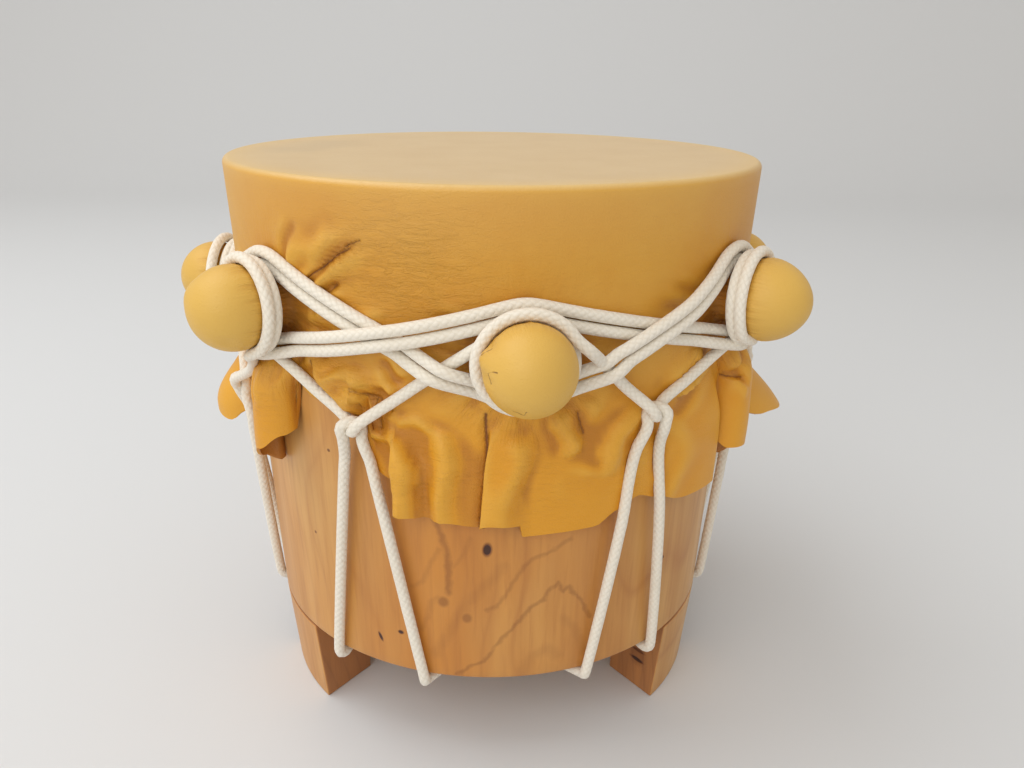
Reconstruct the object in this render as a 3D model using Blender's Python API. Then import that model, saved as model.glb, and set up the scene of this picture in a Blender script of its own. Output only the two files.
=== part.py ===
"""A water drum: a hollow wooden vessel on three feet, a soft hide tied over its mouth, and cord.

Metres, +Z up, standing on Z = 0, with its front towards -Y. A bearing is in degrees round the drum,
0 at the front and growing to the right as seen from there. A drop is a distance below the drum's head.
"""
import bmesh
import bpy
import numpy as np
from mathutils import Vector

# The wooden vessel
OVERALL_HEIGHT = 0.2612
FOOT_HEIGHT = 0.0432
MOUTH_RADIUS = 0.1230
BASE_RADIUS = 0.1123
WALL = 0.0150
FLOOR_THICKNESS = 0.0220
RIM_ROUNDING = 0.0020
VESSEL_SIDES = 48
# A corner sharper than this many degrees shows as an edge
SHARP_ANGLE = 35

# The feet: wedges that are widest at the drum's outer surface
FOOT_BEARINGS = {"foot_left": -62.5, "foot_right": 61.8, "foot_back": 180.0}
FOOT_TOE_RADIUS = 0.1082
FOOT_OUTER_WIDTH = 0.0508
FOOT_INNER_WIDTH = 0.0250
FOOT_DEPTH = 0.0300
FOOT_ARC_STEPS = 5

# The hide
HIDE_THICKNESS = 0.0015
HEAD_ROUNDING = 0.0032
HEAD_ROUNDING_STEPS = (30, 60)
HIDE_COLUMNS = 60
# How far the form that hollows the hide runs on below it
BELOW_HEM = 0.0300
FLARE_START_DROP = 0.0840
FLARE_CURVE = 1.4
SKIRT_ROWS = 3
# Bearing and drop of the skirt's lower edge, once round
HEM = [(-57.0, 0.126), (-46.0, 0.117), (-36.0, 0.103), (-23.0, 0.104), (-17.0, 0.129), (-4.0, 0.138),
       (7.0, 0.140), (22.0, 0.140), (32.0, 0.134), (45.0, 0.138), (60.0, 0.137), (72.0, 0.126),
       (84.0, 0.106), (100.0, 0.112), (112.0, 0.120), (132.0, 0.108), (152.0, 0.132), (170.0, 0.126),
       (188.0, 0.107), (206.0, 0.130), (222.0, 0.127), (238.0, 0.104), (256.0, 0.112), (270.0, 0.122),
       (286.0, 0.108), (295.0, 0.120)]
# Bearing and outward reach of the skirt's lower edge, once round
FLARE = [(-66.0, 0.001), (-56.0, 0.009), (-47.0, 0.008), (-36.0, 0.001), (-20.0, 0.001), (-7.0, 0.003),
         (8.0, 0.0035), (20.0, 0.001), (42.0, 0.001), (52.0, 0.004), (66.0, 0.010), (80.0, 0.001),
         (95.0, 0.002), (107.0, 0.016), (118.0, 0.002), (144.0, 0.002), (158.0, 0.012), (170.0, 0.002),
         (197.0, 0.002), (213.0, 0.011), (226.0, 0.002), (251.0, 0.002), (263.0, 0.014), (276.0, 0.001)]

# The knobs: bearing and drop of each ball's centre
KNOBS = [(5.5, 0.0625), (53.5, 0.0505), (107.0, 0.0620), (158.0, 0.0540), (213.5, 0.0590), (266.5, 0.0640),
         (313.5, 0.0520)]
BALL_RADIUS = 0.0155
BALL_FIT = 0.0003
BALL_STANDOFF = 0.0195
NECK_RADIUS = 0.0140
KNOB_SIDES = 10
BALL_STEP = 30
# The foot of a knob: where it starts to spread, by how much, and how deep it and its pouch run into the side
ROOT_STANDOFF = 0.0035
ROOT_SPREAD = 0.0012
ROOT_DEPTH = 0.0060
POUCH_DEPTH = 0.0090

# The cord
CORD_DIAMETER = 0.0048
CORD_CLEARANCE = 0.0005
CORD_SIDES = 5
FACET_ROOM = 0.0006
# Its turn round a knob, by standoff from the hide and by angle, 0 to the right and 90 at the top
TURN_STANDOFF = 0.0076
TURN_LAST_STANDOFF = 0.0144
TURN_START = 150
TURN_END = -330
TURN_STEP = 30
# It keeps its standoff on this last share of the way up from a V
CLIMB_TOP = 0.85
CLIMB_SHARES = (0.30, 0.55, 0.75, 0.86)
# The wrap's arcs over and under a knob, and its crossings between knobs
WRAP_RADIUS = 0.0198
WRAP_STEP = 0.35
WRAP_START = 5
CROSSING_LOW = 0.0120
CROSSING_HIGH = 0.0170
RUN_STEP = 0.0200
# Where two circuits of the wrap change places: the ends of a run that stay down, as shares, and the slope
LIFT_END = 0.08
LIFT_SLOPE = 10
# The bend where the lacing hooks on a V: its size, its course in sizes, and which cord is over on the left
HOOK_BEND = 0.0058
VALLEY_BEND = [(-1, 0.75), (-0.5, 0.2), (0.5, 0.2), (1, 0.75)]
VALLEY_LIFTS = [-0.5, -0.35, 0.35, 0.5]
LACING_BEND = [(-1, -0.4), (-0.75, 0.6), (0, 1.15), (0.75, 0.6), (1, -0.4)]
LACING_LIFTS = [-0.5, -0.5, 0, 0.5, 0.5]
VALLEY_HOOKS = [-1, 1, 1, 1, 1, 1, 1]
# Half of the length that a strand under the drum takes to pass another
CHORD_HALF = 0.0035
# From one V the lacing goes to the third one on
LACING_SKIP = 3
# Between two knobs: bearing and drop of the V, then the bearings where its two legs reach the bottom edge
VALLEYS = [(31.0, 0.0905, 21.8, 40.8), (81.0, 0.0960, 79.0, 94.0), (132.0, 0.0930, 117.0, 141.0),
           (186.0, 0.0930, 160.0, 201.5), (240.0, 0.0950, 226.5, 246.0), (289.0, 0.1040, 269.0, 281.0),
           (334.5, 0.0970, 322.2, 345.1)]

CLEARANCE = 0.0003
CORD_RADIUS = CORD_DIAMETER / 2
RIM_HEIGHT = OVERALL_HEIGHT - HIDE_THICKNESS - CLEARANCE
HIDE_BUILD = HIDE_THICKNESS + CLEARANCE
KNOB_RADIUS = BALL_RADIUS + BALL_FIT + HIDE_THICKNESS
# A cord that lies on the hide has its middle this far out, and one that lies over it a pitch further
CORD_SEAT = CORD_RADIUS + CORD_CLEARANCE
CORD_PITCH = CORD_DIAMETER + CORD_CLEARANCE
CROSSING_PITCH = CORD_PITCH + FACET_ROOM


def finish(obj, name, colour, roughness):
    """Names the object and gives it a material of its own."""
    material = bpy.data.materials.new(name)
    material.use_nodes = True
    shader = material.node_tree.nodes["Principled BSDF"]
    shader.inputs["Base Color"].default_value = (*colour, 1.0)
    shader.inputs["Roughness"].default_value = roughness
    obj.name = name
    obj.data.materials.clear()
    obj.data.materials.append(material)
    if obj.type == "MESH":
        obj.data.shade_smooth()
        obj.data.set_sharp_from_angle(angle=np.radians(SHARP_ANGLE))
    obj.parent = DRUM


def add_object(name, data):
    obj = bpy.data.objects.new(name, data)
    bpy.context.collection.objects.link(obj)
    return obj


def polar(radius, bearing, height):
    angle = np.radians(bearing)
    return Vector((radius * np.sin(angle), -radius * np.cos(angle), height))


def wood_radius(height):
    """The vessel's outer radius, which grows evenly from the base to the mouth."""
    share = (height - FOOT_HEIGHT) / (RIM_HEIGHT - FOOT_HEIGHT)
    return BASE_RADIUS + (MOUTH_RADIUS - BASE_RADIUS) * share


def around(table, bearing):
    """A smooth closed curve through a table of bearings and values."""
    bearings = [row[0] for row in table]
    turn = (bearing - bearings[0]) % 360 + bearings[0]
    last = max(i for i, start in enumerate(bearings) if start <= turn + 1e-9)
    following = (last + 1) % len(table)
    end = bearings[following] + (360 if following == 0 else 0)
    share = (turn - bearings[last]) / (end - bearings[last])
    share = share * share * (3 - 2 * share)
    return table[last][1] + (table[following][1] - table[last][1]) * share


def skirt_reach(bearing, drop):
    """How far the skirt stands out from the line of the side at this place."""
    share = (drop - FLARE_START_DROP) / (around(HEM, bearing) - FLARE_START_DROP)
    share = min(max(share, 0.0), 1.0)
    return around(FLARE, bearing) * share ** FLARE_CURVE


def side_radius(bearing, drop):
    """The outer radius of the hide down the drum's side."""
    return wood_radius(OVERALL_HEIGHT - drop) + HIDE_BUILD + skirt_reach(bearing, drop)


def mesh_object(name, bm):
    """Makes an object of a bmesh, with its faces turned outwards."""
    bmesh.ops.recalc_face_normals(bm, faces=bm.faces)
    mesh = bpy.data.meshes.new(name)
    bm.to_mesh(mesh)
    bm.free()
    return add_object(name, mesh)


def loft(name, rings, closed_by=(None, None)):
    """Skins rings of equal length. Each end is closed by a point, or else by one flat face."""
    bm = bmesh.new()
    rows = [[bm.verts.new(point) for point in ring] for ring in rings]
    sides = len(rows[0])
    for upper, lower in zip(rows, rows[1:]):
        for i in range(sides):
            bm.faces.new((upper[i], upper[(i + 1) % sides], lower[(i + 1) % sides], lower[i]))
    for row, point in zip((rows[0], rows[-1]), closed_by):
        if point is None:
            bm.faces.new(row)
            continue
        pole = bm.verts.new(point)
        for i in range(sides):
            bm.faces.new((row[i], row[(i + 1) % sides], pole))
    return mesh_object(name, bm)


def combine(target, tool, operation):
    """Cuts the tool from the target, or joins it on, and leaves the result as the target's own mesh."""
    modifier = target.modifiers.new("Boolean", "BOOLEAN")
    modifier.operation = operation
    modifier.solver = "EXACT"
    modifier.object = tool
    graph = bpy.context.evaluated_depsgraph_get()
    result = bpy.data.meshes.new_from_object(target.evaluated_get(graph))
    target.modifiers.remove(modifier)
    target.data = result
    bpy.data.objects.remove(tool)


def make_vessel():
    """Outer wall, rounded rim, inner wall and floor, as one turned profile."""
    inner_floor = FOOT_HEIGHT + FLOOR_THICKNESS
    inner_mouth = MOUTH_RADIUS - WALL
    inner_base = wood_radius(inner_floor) - WALL
    profile = [
        (BASE_RADIUS, FOOT_HEIGHT),
        (wood_radius(RIM_HEIGHT - RIM_ROUNDING), RIM_HEIGHT - RIM_ROUNDING),
        (MOUTH_RADIUS - RIM_ROUNDING * 0.3, RIM_HEIGHT - RIM_ROUNDING * 0.3),
        (MOUTH_RADIUS - RIM_ROUNDING, RIM_HEIGHT),
        (inner_mouth, RIM_HEIGHT),
        (inner_base, inner_floor),
    ]
    bearings = np.arange(VESSEL_SIDES) * 360 / VESSEL_SIDES
    rings = [[polar(radius, bearing, height) for bearing in bearings] for radius, height in profile]
    vessel = loft("vessel", rings, (Vector((0, 0, FOOT_HEIGHT)), Vector((0, 0, inner_floor))))
    finish(vessel, "vessel", (0.60, 0.32, 0.12), 0.45)


def make_foot(name, bearing):
    """A wedge whose outer face carries on the vessel's side."""
    top = FOOT_HEIGHT - CLEARANCE
    rings = []
    for height, radius in ((top, wood_radius(top)), (0.0, FOOT_TOE_RADIUS)):
        half = np.degrees(np.arcsin(FOOT_OUTER_WIDTH / 2 / radius))
        steps = np.linspace(-half, half, FOOT_ARC_STEPS + 1)
        ring = [polar(radius, bearing + step, height) for step in steps]
        inner = FOOT_TOE_RADIUS - FOOT_DEPTH
        spread = np.degrees(np.arctan2(FOOT_INNER_WIDTH / 2, inner))
        reach = np.hypot(inner, FOOT_INNER_WIDTH / 2)
        ring += [polar(reach, bearing + spread, height), polar(reach, bearing - spread, height)]
        rings.append(ring)
    foot = loft(name, rings)
    finish(foot, name, (0.50, 0.25, 0.09), 0.5)


def drum_form(name, inset, below_hem):
    """The closed form of the head, side and skirt, drawn in by inset. below_hem carries it on past the hem."""
    bearings = np.arange(HIDE_COLUMNS) * 360 / HIDE_COLUMNS
    top = OVERALL_HEIGHT - inset
    rings = []
    shoulder = side_radius(0, HEAD_ROUNDING)
    rings.append([polar(shoulder - HEAD_ROUNDING, bearing, top) for bearing in bearings])
    for angle in HEAD_ROUNDING_STEPS:
        bend = np.radians(angle)
        radius = shoulder - HEAD_ROUNDING + (HEAD_ROUNDING - inset) * np.sin(bend)
        height = OVERALL_HEIGHT - HEAD_ROUNDING + (HEAD_ROUNDING - inset) * np.cos(bend)
        rings.append([polar(radius, bearing, height) for bearing in bearings])
    for drop in (HEAD_ROUNDING, FLARE_START_DROP):
        rings.append([polar(side_radius(b, drop) - inset, b, OVERALL_HEIGHT - drop) for b in bearings])
    for row in range(1, SKIRT_ROWS + 1):
        ring = []
        for bearing in bearings:
            hem = around(HEM, bearing)
            drop = FLARE_START_DROP + (hem - FLARE_START_DROP) * row / SKIRT_ROWS
            ring.append(polar(side_radius(bearing, drop) - inset, bearing, OVERALL_HEIGHT - drop))
        rings.append(ring)
    last = rings[-1]
    if below_hem:
        last = [point - Vector((0, 0, below_hem)) for point in last]
        rings.append(last)
    foot = sum((point.z for point in last)) / len(last)
    return loft(name, rings, (Vector((0, 0, top)), Vector((0, 0, foot))))


def knob_place(bearing, drop):
    """The point on the hide's side where a knob's axis leaves it, and the three directions of the knob."""
    start = polar(side_radius(bearing, drop), bearing, OVERALL_HEIGHT - drop)
    outward = polar(1, bearing, 0)
    across = Vector((0, 0, 1)).cross(outward)
    return start, outward, across


def ball_rings(radius, last_angle):
    """Standoffs and radii of rings on a ball, from its outer tip inwards."""
    angles = np.radians([*np.arange(BALL_STEP, last_angle, BALL_STEP), last_angle])
    return [(BALL_STANDOFF + radius * np.cos(angle), radius * np.sin(angle)) for angle in angles]


def turned_on_knob(name, bearing, drop, profile, ends):
    """Turns a profile of standoffs and radii about a knob's axis."""
    start, outward, across = knob_place(bearing, drop)
    rings = []
    for standoff, radius in profile:
        ring = []
        for i in range(KNOB_SIDES):
            angle = 2 * np.pi * i / KNOB_SIDES
            around_axis = across * np.cos(angle) + Vector((0, 0, 1)) * np.sin(angle)
            ring.append(start + outward * standoff + around_axis * radius)
        rings.append(ring)
    return loft(name, rings, [None if end is None else start + outward * end for end in ends])


def knob_form(name, bearing, drop, inset, root):
    """Ball, neck and root of one knob's pouch, drawn in by inset."""
    radius = KNOB_RADIUS - inset
    neck = NECK_RADIUS - inset
    neck_angle = 180 - np.degrees(np.arcsin(neck / radius))
    profile = ball_rings(radius, neck_angle)
    profile += [(ROOT_STANDOFF, neck), (-root, neck + ROOT_SPREAD)]
    return turned_on_knob(name, bearing, drop, profile, (BALL_STANDOFF + radius, None))


def make_hide():
    """One sheet: the outer form with its knobs, less the same form drawn in by the hide's thickness."""
    outer = drum_form("hide", 0.0, 0.0)
    inner = drum_form("hide_inside", HIDE_THICKNESS, BELOW_HEM)
    for bearing, drop in KNOBS:
        combine(outer, knob_form("knob", bearing, drop, 0.0, ROOT_DEPTH), "UNION")
        combine(inner, knob_form("pouch", bearing, drop, HIDE_THICKNESS, POUCH_DEPTH), "UNION")
    combine(outer, inner, "DIFFERENCE")
    finish(outer, "hide", (0.62, 0.33, 0.07), 0.5)


def make_ball(number, bearing, drop):
    profile = ball_rings(BALL_RADIUS, 180 - BALL_STEP)
    name = f"ball_{number}"
    ends = (BALL_STANDOFF + BALL_RADIUS, BALL_STANDOFF - BALL_RADIUS)
    ball = turned_on_knob(name, bearing, drop, profile, ends)
    finish(ball, name, (0.35, 0.31, 0.27), 0.6)


# Runs of cord are laid out on the unrolled side: u along the side, v upwards from the head, and a standoff
# of the cord's middle from the hide
ROUND = side_radius(0, KNOBS[0][1])


def laid(u, v, standoff):
    """The place in space of a point of a cord that lies on the side."""
    bearing = np.degrees(u / ROUND)
    return polar(side_radius(bearing, -v) + standoff, bearing, OVERALL_HEIGHT + v)


def unrolled(point):
    """The reverse of laid."""
    bearing = np.degrees(np.arctan2(point.x, -point.y))
    v = point.z - OVERALL_HEIGHT
    return np.array([np.radians(bearing) * ROUND, v, np.hypot(point.x, point.y) - side_radius(bearing, -v)])


def flat_place(bearing, drop):
    return np.array([np.radians(bearing) * ROUND, -drop])


def make_cord_section():
    """The cord's cross-section, a guide that the cords are swept with."""
    curve = bpy.data.curves.new("cord_section", "CURVE")
    spline = curve.splines.new("POLY")
    spline.points.add(CORD_SIDES - 1)
    for number, slot in enumerate(spline.points):
        angle = -2 * np.pi * number / CORD_SIDES
        slot.co = (CORD_RADIUS * np.cos(angle), CORD_RADIUS * np.sin(angle), 0, 1)
    spline.use_cyclic_u = True
    section = add_object("cord_section", curve)
    section.hide_render = True
    section.display_type = "WIRE"
    return section


def cord_object(name, points, colour):
    """A closed loop of round cord through the points."""
    curve = bpy.data.curves.new(name, "CURVE")
    curve.dimensions = "3D"
    curve.bevel_mode = "OBJECT"
    curve.bevel_object = CORD_SECTION
    spline = curve.splines.new("POLY")
    spline.points.add(len(points) - 1)
    for slot, point in zip(spline.points, points):
        slot.co = (*point, 1)
    spline.use_cyclic_u = True
    finish(add_object(name, curve), name, colour, 0.85)


def meeting(start, end, other_start, other_end):
    """How far along the first line, from 0 to 1, it meets the second, and how far along the second."""
    way, other_way = end - start, other_end - other_start
    cross = way[0] * other_way[1] - way[1] * other_way[0]
    gap = other_start - start
    along, across = (gap[0] * line[1] - gap[1] * line[0] for line in (other_way, way))
    return along / cross, across / cross


def leaves(start, end, start_radius, end_radius, over):
    """The ends of a taut run from the top of one circle to the bottom of the next, or the reverse."""
    span = end - start
    length = np.hypot(*span)
    lean = np.arcsin((start_radius + end_radius) / length) * (-1 if over else 1)
    way = np.arctan2(span[1], span[0]) + lean
    side = np.array([-np.sin(way), np.cos(way)]) * (1 if over else -1)
    return start + side * start_radius, end - side * end_radius


def arc(centre, radius, first, last):
    """Points on a circle of the unrolled side, from one point of it to another."""
    start, end = (np.arctan2(*(point - centre)[::-1]) for point in (first, last))
    sweep = (end - start + np.pi) % (2 * np.pi) - np.pi
    steps = max(int(np.ceil(abs(sweep) / WRAP_STEP)), 1)
    angles = start + sweep * np.arange(steps + 1) / steps
    return [centre + radius * np.array([np.cos(angle), np.sin(angle)]) for angle in angles]


def knob_centre(index):
    """A knob's place on the unrolled side, counted on past the last knob."""
    turns, which = divmod(index, len(KNOBS))
    return flat_place(KNOBS[which][0] + 360 * turns, KNOBS[which][1])


def valley_place(index):
    """The V after a knob, on the unrolled side."""
    turns, which = divmod(index, len(VALLEYS))
    return flat_place(VALLEYS[which][0] + 360 * turns, VALLEYS[which][1])


def knob_turn(index):
    """The cord's turn round a knob, from its upper left, once round and over the top to its upper right."""
    bearing, drop = KNOBS[index % len(KNOBS)]
    start, outward, across = knob_place(bearing, drop)
    angles = np.radians(np.arange(TURN_START, TURN_END - 1, -TURN_STEP))
    points = []
    for share, angle in zip(np.linspace(0, 1, len(angles)), angles):
        standoff = TURN_STANDOFF + (TURN_LAST_STANDOFF - TURN_STANDOFF) * share
        behind = BALL_STANDOFF - standoff
        room = KNOB_RADIUS + CORD_SEAT + FACET_ROOM
        radius = max(np.sqrt(room ** 2 - behind ** 2), NECK_RADIUS + CORD_SEAT + FACET_ROOM)
        way = across * np.cos(angle) + Vector((0, 0, 1)) * np.sin(angle)
        points.append(start + outward * standoff + way * radius)
    return points


def climb(share, standoff):
    """The standoff of a cord that leaves the side late on its way up to a knob."""
    return CORD_SEAT + (standoff - CORD_SEAT) * min(share / CLIMB_TOP, 1) ** 3


def make_knob_cord():
    """Round each knob, and down to a V between each pair."""
    points = []
    for index in range(len(KNOBS)):
        turn = knob_turn(index)
        points += turn
        valley = valley_place(index)
        after = knob_turn(index + 1)
        side = VALLEY_HOOKS[index]
        leave = unrolled(turn[-1])
        arrive = unrolled(after[0])
        for where in (leave, arrive):
            where[0] += round((valley[0] - where[0]) / (2 * np.pi * ROUND)) * 2 * np.pi * ROUND
        low = valley + HOOK_BEND * np.array(VALLEY_BEND)
        lifts = CORD_SEAT + CROSSING_PITCH * (0.5 + np.array(VALLEY_LIFTS) * side)
        for share in reversed(CLIMB_SHARES):
            flat = low[0] + (leave[:2] - low[0]) * share
            points.append(laid(*flat, climb(share, leave[2])))
        points += [laid(*flat, lift) for flat, lift in zip(low, lifts)]
        for share in CLIMB_SHARES:
            flat = low[-1] + (arrive[:2] - low[-1]) * share
            points.append(laid(*flat, climb(share, arrive[2])))
    cord_object("knob_cord", points, (0.83, 0.78, 0.68))


def wrap_run(index, first, last, over, lifted):
    """The taut run of the wrap from one knob to the next, lifted over what it crosses."""
    valley = valley_place(index)
    far = knob_centre(index + 1) if over else knob_centre(index)
    which = (index + 1) if over else index
    turn = knob_turn(which)
    knob_end = unrolled(turn[0] if over else turn[-1])
    knob_end[0] += round((far[0] - knob_end[0]) / (2 * np.pi * ROUND)) * 2 * np.pi * ROUND
    along, up = meeting(first, last, valley, knob_end[:2])
    length = np.hypot(*(last - first))
    stops = {0.0: CORD_SEAT, along: climb(up, knob_end[2]) + CROSSING_PITCH + FACET_ROOM, 1.0: CORD_SEAT}
    spread = (CROSSING_LOW if over else CROSSING_HIGH) / length
    stops[0.5 - spread] = stops[0.5 + spread] = CORD_SEAT + (0 if over else CORD_PITCH)
    if lifted:
        stops[LIFT_END] = stops[1 - LIFT_END] = CORD_SEAT
        for at in stops:
            stops[at] += CROSSING_PITCH * min(LIFT_SLOPE * at * (1 - at), 1)
    shares = sorted(stops)
    heights = [stops[share] for share in shares]
    for share, following in zip(list(shares), shares[1:]):
        extra = int((following - share) * length / RUN_STEP)
        shares += [share + (following - share) * (n + 1) / (extra + 1) for n in range(extra)]
    levels = np.interp(sorted(shares), sorted(stops), heights)
    return [(first + (last - first) * share, level) for share, level in zip(sorted(shares), levels)]


def make_wrap_cord():
    """Over one knob and under the next, four times round, so that it lies double everywhere."""
    count = len(KNOBS)
    total = 4 * count
    near, wide = WRAP_RADIUS, WRAP_RADIUS + CORD_PITCH

    def radius_at(step):
        upper = step % total < total // 2
        over = step % 2 == 0
        return wide if upper == over else near

    runs = []
    for step in range(total):
        index = WRAP_START + step
        centres = knob_centre(index), knob_centre(index + 1)
        runs.append(leaves(*centres, radius_at(step), radius_at(step + 1), step % 2 == 0))
    points = []
    for step in range(total):
        index = WRAP_START + step
        turns = (index // count) * 2 * np.pi * ROUND
        before = runs[step - 1]
        centre = knob_centre(index)
        arriving = before[1]
        if step == 0:
            arriving = arriving - np.array([total // count * 2 * np.pi * ROUND, 0])
        points += [laid(*flat, CORD_SEAT) for flat in arc(centre, radius_at(step), arriving, runs[step][0])]
        lifted = step == total - 1
        run = wrap_run(index, *runs[step], step % 2 == 0, lifted)
        points += [laid(*flat, standoff) for flat, standoff in run[1:-1]]
    cord_object("wrap_cord", points, (0.83, 0.78, 0.68))


def foot_corners():
    """The inner corners of the feet in plan, where a cord under the drum can't pass."""
    inner = FOOT_TOE_RADIUS - FOOT_DEPTH
    spread = np.degrees(np.arctan2(FOOT_INNER_WIDTH / 2, inner))
    reach = np.hypot(inner, FOOT_INNER_WIDTH / 2)
    bearings = [bearing + turn for bearing in FOOT_BEARINGS.values() for turn in (-spread, spread)]
    return [polar(reach, bearing, 0).xy for bearing in bearings]


def chord_plan(index):
    """The plan of the cord under the drum from one V to the third one on, bent round a foot in its way."""
    start = polar(BASE_RADIUS, VALLEYS[index][3], 0).xy
    end = polar(BASE_RADIUS, VALLEYS[(index + LACING_SKIP) % len(VALLEYS)][2], 0).xy
    way = (end - start).normalized()
    square = Vector((-way.y, way.x))
    if square.dot(start) > 0:
        square = -square
    room = CORD_SEAT + FACET_ROOM
    bends = []
    for corner in foot_corners():
        clear = square.dot(start - corner)
        along = way.dot(corner - start)
        if 0 < along < (end - start).length and clear < room and clear > -FOOT_DEPTH / 2:
            bends.append(corner + square * room)
    return [start, *bends, end]


def make_lacing_cord():
    """From each V down the side, across the underside and up to the third V on."""
    count = len(VALLEYS)
    plans = [chord_plan(index) for index in range(count)]
    points = []
    index = 0
    for _ in range(count):
        points += hook(index)
        points += leg(index, 1)
        points += chord(index, plans)
        index = (index + LACING_SKIP) % count
        points += reversed(leg(index, -1))
    cord_object("lacing_cord", points, (0.83, 0.78, 0.68))


def hook(index):
    """The bend of the lacing over a V, from the left leg to the right one."""
    valley = valley_place(index)
    side = -VALLEY_HOOKS[index]
    lifts = CORD_SEAT + CROSSING_PITCH * (0.5 + np.array(LACING_LIFTS) * side)
    return [laid(*flat, lift) for flat, lift in zip(valley + HOOK_BEND * np.array(LACING_BEND), lifts)]


def leg(index, side):
    """One leg of the lacing from the V to the bottom edge, the right one or, with side -1, the left one."""
    middle, drop, left, right = VALLEYS[index]
    bearing = middle + side * np.degrees(HOOK_BEND / ROUND)
    foot_bearing = right if side > 0 else left
    bottom = OVERALL_HEIGHT - FOOT_HEIGHT
    top = drop + 2 * HOOK_BEND
    hem = max(around(HEM, bearing) + CORD_DIAMETER, top + CORD_DIAMETER)
    points = []
    for place in (top, hem, bottom):
        share = (place - top) / (bottom - top)
        turn = bearing + (foot_bearing - bearing) * share
        height = OVERALL_HEIGHT - place
        below = max((place - hem) / (bottom - hem), 0)
        clear = HIDE_BUILD * (1 - below) + CORD_SEAT
        radius = wood_radius(height) + clear + (0 if below else skirt_reach(turn, place))
        points.append(polar(radius, turn, height))
    edge = CORD_SEAT * np.sqrt(0.5)
    points.append(polar(BASE_RADIUS + edge, foot_bearing, FOOT_HEIGHT - edge))
    return points


def chord(index, plans):
    """The cord under the drum, which passes near the wood and away from it in turn."""
    count = len(plans)
    plan = plans[index]
    lengths = [0.0]
    for first, last in zip(plan, plan[1:]):
        lengths.append(lengths[-1] + (last - first).length)
    stops = [(length, 0) for length in lengths]
    for step, away in ((-2, 0), (-1, 1), (1, 0), (2, 1)):
        other = plans[(index + step) % count]
        for i, (first, last) in enumerate(zip(plan, plan[1:])):
            for other_first, other_last in zip(other, other[1:]):
                along, across = meeting(first, last, other_first, other_last)
                if 0 <= along <= 1 and 0 <= across <= 1:
                    place = lengths[i] + along * (last - first).length
                    stops += [(place - CHORD_HALF, away), (place + CHORD_HALF, away)]
    points = []
    for place, away in sorted(stops):
        i = max(n for n in range(len(plan) - 1) if lengths[n] <= place + 1e-9)
        share = (place - lengths[i]) / (lengths[i + 1] - lengths[i])
        spot = plan[i].lerp(plan[i + 1], share)
        points.append(Vector((spot.x, spot.y, FOOT_HEIGHT - CORD_SEAT - away * CORD_PITCH)))
    return points


def centre_drum():
    """Puts the middle of the hide's length and width, which are also the drum's, over the origin."""
    for axis in (0, 1):
        places = [vertex.co[axis] for vertex in bpy.data.objects["hide"].data.vertices]
        DRUM.location[axis] = -(min(places) + max(places)) / 2


for old in list(bpy.data.objects):
    bpy.data.objects.remove(old)

DRUM = bpy.data.objects.new("drum", None)
bpy.context.collection.objects.link(DRUM)

make_vessel()
for foot_name, foot_bearing in FOOT_BEARINGS.items():
    make_foot(foot_name, foot_bearing)
make_hide()
for knob_number, (knob_bearing, knob_drop) in enumerate(KNOBS, 1):
    make_ball(knob_number, knob_bearing, knob_drop)
CORD_SECTION = make_cord_section()
make_knob_cord()
make_wrap_cord()
make_lacing_cord()
centre_drum()
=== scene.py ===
"""A water drum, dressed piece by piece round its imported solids. Metres, +Z up, front towards -Y.

A bearing is in degrees round the drum, 0 at the front and growing to the right as seen from there.
A drop is a distance below the drum's head.
"""

import bmesh
import bpy
import numpy as np
from mathutils import Matrix, Vector
from mathutils.kdtree import KDTree


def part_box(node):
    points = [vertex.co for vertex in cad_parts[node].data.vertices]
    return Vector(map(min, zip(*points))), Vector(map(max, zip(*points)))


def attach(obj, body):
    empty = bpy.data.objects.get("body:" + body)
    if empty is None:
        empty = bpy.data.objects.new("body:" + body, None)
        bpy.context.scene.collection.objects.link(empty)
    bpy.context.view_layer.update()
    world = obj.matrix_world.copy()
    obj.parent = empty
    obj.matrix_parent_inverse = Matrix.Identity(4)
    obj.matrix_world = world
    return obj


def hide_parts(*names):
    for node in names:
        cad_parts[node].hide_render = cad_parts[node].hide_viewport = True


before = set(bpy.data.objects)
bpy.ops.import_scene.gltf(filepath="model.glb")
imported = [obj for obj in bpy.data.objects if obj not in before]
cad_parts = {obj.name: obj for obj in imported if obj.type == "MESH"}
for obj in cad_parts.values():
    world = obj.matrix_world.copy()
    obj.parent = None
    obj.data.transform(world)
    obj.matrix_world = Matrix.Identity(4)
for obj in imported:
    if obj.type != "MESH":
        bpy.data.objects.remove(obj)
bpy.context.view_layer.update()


# The view of the photograph: a little above the head, turned down by 20 degrees. The camera is placed by
# sizes in head radii, which is how its place was worked out.
low_corner, high_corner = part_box("vessel")
AXIS = (low_corner + high_corner) / 2
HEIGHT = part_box("hide")[1].z
HEAD_RADIUS = 0.1250
VIEW_DISTANCE = 3.481 * HEAD_RADIUS
VIEW_RISE = 0.326 * HEAD_RADIUS
VIEW_PITCH = np.radians(20.16)
VIEW_YAW = np.radians(1.35)
VIEW_ROLL = np.radians(0.78)
FOCAL_PIXELS = 880
IMAGE_WIDTH = 1024


def placed(name, data):
    """An object for this data, put in the scene."""
    item = bpy.data.objects.new(name, data)
    bpy.context.scene.collection.objects.link(item)
    return item


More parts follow.
